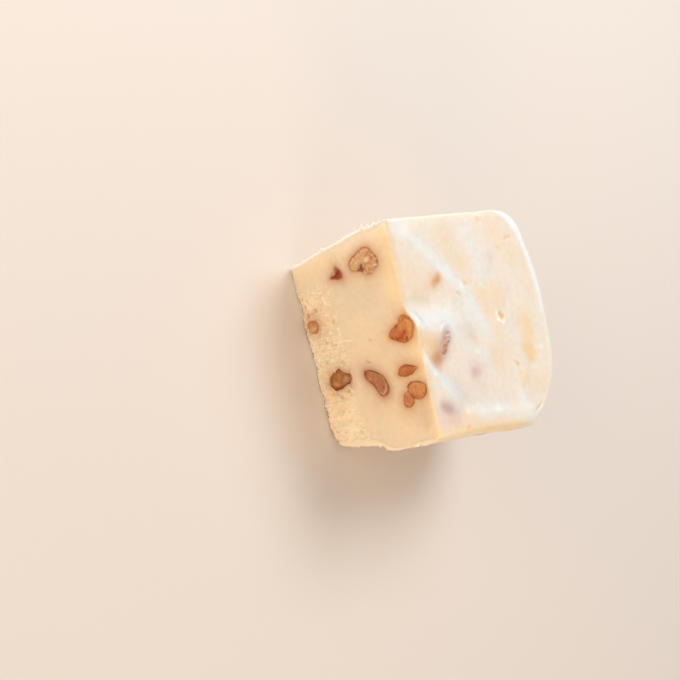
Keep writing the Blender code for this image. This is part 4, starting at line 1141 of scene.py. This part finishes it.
# Fat bloom, then masks of painted light: warm bounce light on the right end and the top's right rim, and
# highlights along the top's rims, the outer side's shoulder and the left edges.
bloom = smooth_step(*BLOOM_RANGE, fine_noise(grid / BLOOM_GRAIN + NOISE_SHIFT))
to_right, to_left = right_end_x(y, HEIGHT) - x, x - left_end_x(y, z)
rim_bounce_light = smooth_step(*RIM_BOUNCE_IN, to_right) * smooth_step(*RIM_BOUNCE_Y, y)
outer_rim_highlight = smooth_step(*OUTER_RIM, shares) * smooth_step(*RIM_END_X, x) * (side == OUTER_SIDE)
left_rim_highlight = LEFT_RIM_HIGHLIGHT * smooth_step(*LEFT_RIM, shares) * (side == LEFT_SIDE)
shoulder = smooth_step(*SHOULDER_Z, z + ragged) * smooth_step(*SHOULDER_END_X, x)
rim_highlight_cream = mix(HIGHLIGHT_WHITE, HIGHLIGHT_IVORY, smooth_step(*RIM_IVORY_X, x))
for tint, share in (
    (PALE_SHEEN_AND_BLOOM, BLOOM * skin * bloom * ~on_top),
    (BOUNCE_LIGHT_APRICOT, RIM_BOUNCE_LIGHT * on_top * rim_bounce_light),
    (BOUNCE_LIGHT_APRICOT, END_BOUNCE_LIGHT * on_right * smooth_step(*END_BOUNCE_Z, z)),
    (rim_highlight_cream, on_top * (outer_rim_highlight + left_rim_highlight)),
    (rim_highlight_cream, SHOULDER_HIGHLIGHT * on_back * shoulder),
    (HIGHLIGHT_IVORY, LEFT_EDGE_HIGHLIGHT * on_cut * np.exp(-((to_left / LEFT_EDGE_REACH) ** 2))),
    (HIGHLIGHT_WHITE, LEFT_END_HIGHLIGHT * on_left * np.exp(-((behind_cut / LEFT_END_REACH) ** 2))),
    (stain_sum / stain_weight[..., None], stain),
):
    colour = mix(colour, tint, share)

fudge_mesh = grid_mesh("fudge", fudge_points, UNDERSIDE_MIDDLE, fudge_points[-1].mean(0))
paint(fudge_mesh, "fudge_colour", colour)
paint(fudge_mesh, "fudge_finish", np.stack((skin, crumb, np.zeros_like(skin)), axis=-1))

# Waxy and slightly see-through, so light from the bright top glows in the edges. A fine mottle breaks
# the colour, the skin is satin, the cut dull, and the crumb rough.
fudge_material, tree, shader = new_material("cream_fudge", roughness=0.6, glow=1.0, glow_depth=1.8)
_, place = mottled(tree, shader, "fudge_colour", size=1.6, low=0.965, high=1.03)
finish = tree.nodes.new("ShaderNodeAttribute")
finish.attribute_name = "fudge_finish"
split = tree.nodes.new("ShaderNodeSeparateColor")
tree.links.new(finish.outputs["Color"], split.inputs["Color"])
skin_share, crumb_share = split.outputs["Red"], split.outputs["Green"]
grain = noise_over(tree, place, size=0.4, detail=4.0)
bump_strength = bumped(tree, shader, grain, distance=0.1)
ranged(tree, skin_share, shader.inputs["Roughness"], low=0.62, high=0.40)
ranged(tree, crumb_share, shader.inputs["Subsurface Weight"], low=0.9, high=0.0)
ranged(tree, crumb_share, bump_strength, low=0.10, high=0.45)

add_piece("fudge", fudge_mesh, fudge_material, "fudge", "fudge_block")

# ------------------------------------------------------------------ crumbs on the porous foot
# Where the knife and the tray tore the foot, small dry grains of fudge cling to it. Each is a little
# twenty-sided lump, stretched unevenly, turned at random and half sunk in the wall.
CRUMB_COUNT, CRUMB_SEED, CRUMBS_ON_CUT = 3600, 31, 0.22
CRUMB_RADIUS, SMALLER_OFTENER, CRUMB_RISE, CRUMB_STRETCH = (0.10, 0.36), 2.5, 0.05, 0.35
OFF_THE_FLOOR, CRUMB_GRAIN_TINT, CRUMB_TONES = 1.2, 0.6, (0.94, 1.04)
# Beads of crumb hang on the lower edge of the cut face, a millimetre or so apart; their white is a
# painted highlight of the light behind them.
BEAD_COUNT, BEAD_X, BEAD_STRAY, BEAD_RADIUS, BEAD_IN = 44, (-21.5, 15.0), 0.3, (0.12, 0.28), 0.05


def grain_shape():
    """The twelve corners and twenty faces of a grain of radius 1."""
    shape = bmesh.new()
    bmesh.ops.create_icosphere(shape, subdivisions=1, radius=1.0)
    corners = np.array([corner.co[:] for corner in shape.verts])
    faces = np.array([[corner.index for corner in face.verts] for face in shape.faces])
    shape.free()
    return corners, faces


def crumb_places(rng):
    """Random places in the crumb, fewer on the cut face, and the wall's normals and colours there.

    A cell is chosen by its area, and the place in it is a random share of its two steps."""
    right = np.roll(fudge_points, -1, axis=1) - fudge_points
    up = np.concatenate((np.diff(fudge_points, axis=0), np.zeros((1,) + fudge_points.shape[1:])))
    area = np.linalg.norm(np.cross(right, up), axis=-1)
    weight = (area * on_wall * crumb * (1.0 - clean) * np.where(on_cut, CRUMBS_ON_CUT, 1.0)).ravel()
    chosen = rng.choice(len(weight), size=CRUMB_COUNT - BEAD_COUNT, p=weight / weight.sum())
    steps = rng.random((2, len(chosen), 1))
    places = [field.reshape(-1, 3)[chosen] for field in (fudge_points, right, up, normals, colour)]
    return places[0] + steps[0] * places[1] + steps[1] * places[2], places[3], places[4]


rng = np.random.default_rng(CRUMB_SEED)
places, outward, local_colour = crumb_places(rng)
low, high = CRUMB_RADIUS
radii = low + (high - low) * rng.random(len(places)) ** SMALLER_OFTENER
bead_x = np.linspace(*BEAD_X, BEAD_COUNT) + rng.uniform(-BEAD_STRAY, BEAD_STRAY, BEAD_COUNT)
bead_radii = rng.uniform(*BEAD_RADIUS, BEAD_COUNT)
beads = np.stack((bead_x, cut_face_y(bead_x, 0.0) + BEAD_IN, bead_radii), axis=-1)
places = np.concatenate((places, beads))
radii = np.concatenate((radii, bead_radii))
outward = np.concatenate((outward, np.broadcast_to((0.0, -1.0, 0.0), beads.shape)))
local_colour = np.concatenate((local_colour, np.broadcast_to(HIGHLIGHT_WHITE, beads.shape)))
corners, faces = grain_shape()
turns, _ = np.linalg.qr(rng.normal(size=(CRUMB_COUNT, 3, 3)))
turns = turns * np.linalg.det(turns)[:, None, None]
stretch = 1.0 + CRUMB_STRETCH * rng.uniform(-1.0, 1.0, (CRUMB_COUNT, 1, 3))
lumps = np.einsum("nij,nvj->nvi", turns, corners * stretch) * radii[:, None, None]
middles = places + outward * CRUMB_RISE * radii[:, None]
middles[:, 2] = np.maximum(middles[:, 2], OFF_THE_FLOOR * radii)
crumb_points = (lumps + middles[:, None]).reshape(-1, 3)
crumb_faces = (faces + np.arange(CRUMB_COUNT)[:, None, None] * len(corners)).reshape(-1, 3)
crumb_mesh = bpy.data.meshes.new("crumbs")
crumb_mesh.from_pydata((crumb_points * MM).tolist(), [], crumb_faces.tolist())
crumb_mesh.shade_smooth()
shade = mix(local_colour, GRAIN, CRUMB_GRAIN_TINT * rng.random(CRUMB_COUNT))
shade = shade * rng.uniform(*CRUMB_TONES, (CRUMB_COUNT, 1))
paint(crumb_mesh, "crumb_colour", np.repeat(shade, len(corners), axis=0))

crumb_material, tree, shader = new_material("dry_crumb", roughness=0.75, glow=0.0, glow_depth=0.8)
mottled(tree, shader, "crumb_colour", size=0.3, low=0.94, high=1.03)
add_piece("crumbs", crumb_mesh, crumb_material, "fudge")

# ------------------------------------------------------------------ lips that the knife left
# The knife dragged a thin ragged lip of fudge out past both upright edges of the cut face, and tore
# a few taller flakes out of it. Each lip is one thin closed ribbon with a saw-toothed edge, and the
# white fringe at its tip is a painted highlight of light coming through it from behind.
LIP_ROWS, LIP_COLUMNS, LIP_ROOT, LIP_THICKNESS, LIP_THINNING = 420, 16, 1.2, 0.08, 0.6
SAW_TEETH = ((0.6, 0.16), (0.25, 0.12))
LIP_END, END_REACH, FLAKE_CLIMB = 0.8, 0.4, 0.3
LIP_SINK, SINK_SHARE, CORNER_PRESS, PRESS_REACH = 0.10, 0.5, 0.06, (0.6, -0.4)
CURL, CURL_GRAIN, CURL_FROM = 0.15, 1.3, 0.7
FRINGE_RAGGED, FRINGE_GRAIN, FRINGE_SOFTNESS = 0.12, 0.4, 0.12
BACKLIGHT_FROST = (0.94, 0.98, 1.0)
# Each lip: which end it is at, the colour of its root, how saw-toothed it is, how far its tip stands
# across at heights up the edge, how wide its white fringe of painted highlight is there, how much light
# glows through it, and its flakes, each with its height up the edge, how far it reaches and its half-width.
LIPS = (
    {"name": "left_lip", "edge_x": left_end_x, "outward": -1.0, "root": (0.88, 0.785, 0.63), "saw": 1.0,
     "tips": ((0.3, -24.8), (2.2, -25.1), (4.4, -25.5), (5.9, -25.9), (7.8, -26.4), (9.5, -26.9),
              (11.1, -27.3), (12.0, -27.9), (12.8, -27.7), (15.0, -28.1), (17.2, -28.6), (20.0, -29.3),
              (22.0, -30.0), (26.0, -30.6), (30.0, -31.2), (33.0, -31.6), (34.6, -31.7)),
     "fringe": ((18.0, 0.5), (22.0, 0.75)), "glow": 0.3,
     "flakes": ((26.8, 1.5, 0.40), (27.5, 0.4, 0.20), (29.0, 0.5, 0.30), (12.0, 0.3, 0.25), (10.4, 0.2, 0.25),
                (31.2, 0.3, 0.4), (24.6, 0.35, 0.2), (22.8, 0.2, 0.2), (20.4, 0.2, 0.3), (16.3, 0.2, 0.3))},
    {"name": "right_lip", "edge_x": right_end_x, "outward": 1.0, "root": (0.86, 0.72, 0.53), "saw": 0.7,
     "tips": ((1.56, 25.0), (2.8, 25.4), (4.06, 25.7), (5.9, 25.9), (7.7, 26.0), (8.0, 26.4), (8.75, 26.06),
              (10.6, 26.2), (12.2, 26.3), (14.4, 26.5), (15.3, 26.75), (16.0, 27.0), (16.4, 26.6),
              (17.2, 26.9), (17.4, 27.1), (17.7, 27.8), (18.3, 27.9), (19.8, 28.3), (21.5, 28.3),
              (23.2, 28.2), (24.45, 27.9), (25.8, 27.6), (26.35, 27.05), (26.8, 27.1), (27.0, 27.7),
              (28.1, 27.9), (28.75, 28.0), (28.9, 27.8), (29.3, 27.25), (29.8, 27.3), (29.95, 27.8),
              (31.7, 27.8), (32.9, 27.4), (33.9, 26.97), (34.9, 26.84)),
     "fringe": ((27.6, -0.2), (28.3, 0.35), (29.3, 0.35), (29.9, -0.2)), "glow": 0.0,
     "flakes": ((12.0, 0.1, 0.3), (22.3, 0.1, 0.3))},
)


def knife_lip(lip):
    """A thin ribbon along an upright edge: each row is a flat loop from inside the block to its tip.

    The tip follows the given places, with a saw of fine noise and a bell curve for each flake. The
    root is sunk in the cut face, and the ribbon follows the pressed edge, thins and curls at its tip."""
    outward = lip["outward"]
    tip_z, tip_x = np.array(lip["tips"]).T
    height = np.linspace(tip_z[0], tip_z[-1], LIP_ROWS)
    line = np.stack((height * 0.0, height * 0.0 + outward, height), axis=-1)
    reach = lip["saw"] * layered_noise(line, SAW_TEETH)
    for middle, far, half_width in lip["flakes"]:
        reach = reach + far * np.exp(-(((height - middle) / half_width) ** 2))
    starts = smooth_step(0.0, LIP_END, height - tip_z[0])
    ends = smooth_step(0.0, LIP_END, tip_z[-1] - height)
    fade = END_REACH + (1.0 - END_REACH) * starts * ends
    edge = lip["edge_x"](CUT_FACE_Y, height)
    root = edge - outward * LIP_ROOT
    tip = root + (np.interp(height, tip_z, tip_x) + outward * reach - root) * fade
    turn = np.linspace(0.0, 2.0 * math.pi, LIP_COLUMNS, endpoint=False)
    share = 0.5 + 0.5 * np.cos(turn)
    lip_x = root[:, None] + (tip - root)[:, None] * share
    press = CORNER_PRESS * smooth_step(*PRESS_REACH, outward * (edge[:, None] - lip_x))
    thick = LIP_THICKNESS * np.sin(turn) * (1.0 - LIP_THINNING * share)
    curl = CURL * fine_noise(line / CURL_GRAIN)[:, None] * smooth_step(CURL_FROM, 1.0, share)
    sink = LIP_SINK + (LIP_THICKNESS - LIP_SINK) * smooth_step(0.0, SINK_SHARE, share)
    climb = height[:, None] + FLAKE_CLIMB * np.clip(reach, 0.0, None)[:, None] * share
    points = np.stack((lip_x, cut_face_y(lip_x, climb) + sink + press + thick + curl, climb), axis=-1)
    # The white fringe at the tip is a painted highlight of light from behind.
    from_tip = np.abs(tip[:, None] - lip_x) + FRINGE_RAGGED * fine_noise(points / FRINGE_GRAIN)
    fringe = np.interp(height, *np.array(lip["fringe"]).T)[:, None]
    white = smooth_step(fringe + FRINGE_SOFTNESS, fringe - FRINGE_SOFTNESS, from_tip)
    colours = mix(lip["root"], BACKLIGHT_FROST, white)
    if outward > 0.0:
        points, colours = points[:, ::-1], colours[:, ::-1]
    mesh = grid_mesh(lip["name"], points, points[0].mean(0), points[-1].mean(0))
    paint(mesh, "lip_colour", colours)
    return mesh


# The left lip is thin enough for a little of the window's light to come through it.
for lip in LIPS:
    name = lip["name"] + "_fudge"
    lip_material, tree, shader = new_material(name, roughness=0.6, glow=lip["glow"], glow_depth=0.15)
    shader.inputs["Subsurface Radius"].default_value = EVEN_GLOW
    mottled(tree, shader, "lip_colour", size=0.5, low=0.96, high=1.02)
    add_piece(lip["name"], knife_lip(lip), lip_material, "fudge")

# ------------------------------------------------------------------ floor, light and camera
# A plain pale floor, a soft cool window high behind the left end, a warm fill from the front, and a
# low warm glow such as a sunlit table throws back on the right end.
FLOOR_HALF, FLOOR_Z, FLOOR_COLOUR = 2000.0, -0.1, (0.83, 0.735, 0.66, 1.0)
CAMERA_PLACE = (-27.1, -389.0, 325.8)
CAMERA_FORWARD = (0.0502, 0.7509, -0.6585)
CAMERA_UP = (-0.9756, 0.1779, 0.1284)
CAMERA_LENS, SENSOR_WIDTH = 95.3, 36.0
# Each light's name, place, size, power and colour, and the colour and strength of the room's own light.
LIGHTS = (
    ("window", (-300.0, 240.0, 520.0), 340.0, 2.6, (0.94, 0.97, 1.0)),
    ("fill", (-200.0, -520.0, 160.0), 400.0, 1.25, (1.0, 0.86, 0.68)),
    ("table_glow", (400.0, -260.0, 90.0), 300.0, 1.1, (1.0, 0.76, 0.50)),
)
ROOM_COLOUR, ROOM_STRENGTH = (1.0, 0.97, 0.93, 1.0), 0.45

floor_mesh = bpy.data.meshes.new("floor")
floor_corners = np.array(((-1, -1, 0), (1, -1, 0), (1, 1, 0), (-1, 1, 0))) * FLOOR_HALF + (0.0, 0.0, FLOOR_Z)
floor_mesh.from_pydata((floor_corners * MM).tolist(), [], [(0, 1, 2, 3)])
floor_material, _, shader = new_material("pale_floor", roughness=0.5, glow=0.0, glow_depth=1.0)
shader.inputs["Base Color"].default_value = FLOOR_COLOUR
floor_mesh.materials.append(floor_material)
floor = bpy.data.objects.new("floor", floor_mesh)
bpy.context.scene.collection.objects.link(floor)


def aim(direction, up):
    """A turn that points -Z along direction with Y near up."""
    forward = Vector(direction).normalized()
    right = forward.cross(Vector(up)).normalized()
    return Matrix((right, right.cross(forward), -forward)).transposed().to_4x4()


def soft_light(name, place, size, power, colour):
    """A square area light at a place, turned to the middle of the block."""
    data = bpy.data.lights.new(name, "AREA")
    data.shape, data.size = "SQUARE", size * MM
    data.energy, data.color = power, colour
    light = bpy.data.objects.new(name, data)
    bpy.context.scene.collection.objects.link(light)
    spot = Vector(place) * MM
    middle = Vector((0.0, 0.0, 0.5 * HEIGHT)) * MM
    light.matrix_world = Matrix.Translation(spot) @ aim(middle - spot, (0.0, 0.1, 1.0))


for light in LIGHTS:
    soft_light(*light)

world = bpy.data.worlds.new("soft_room")
bpy.context.scene.world = world
world.use_nodes = True
background = world.node_tree.nodes["Background"]
background.inputs["Color"].default_value = ROOM_COLOUR
background.inputs["Strength"].default_value = ROOM_STRENGTH

camera_data = bpy.data.cameras.new("camera")
camera_data.lens, camera_data.sensor_width = CAMERA_LENS, SENSOR_WIDTH
camera = bpy.data.objects.new("camera", camera_data)
bpy.context.scene.collection.objects.link(camera)
camera.matrix_world = aim(CAMERA_FORWARD, CAMERA_UP)
camera.location = Vector(CAMERA_PLACE) * MM
bpy.context.scene.camera = camera
bpy.context.scene.view_settings.view_transform = "Standard"
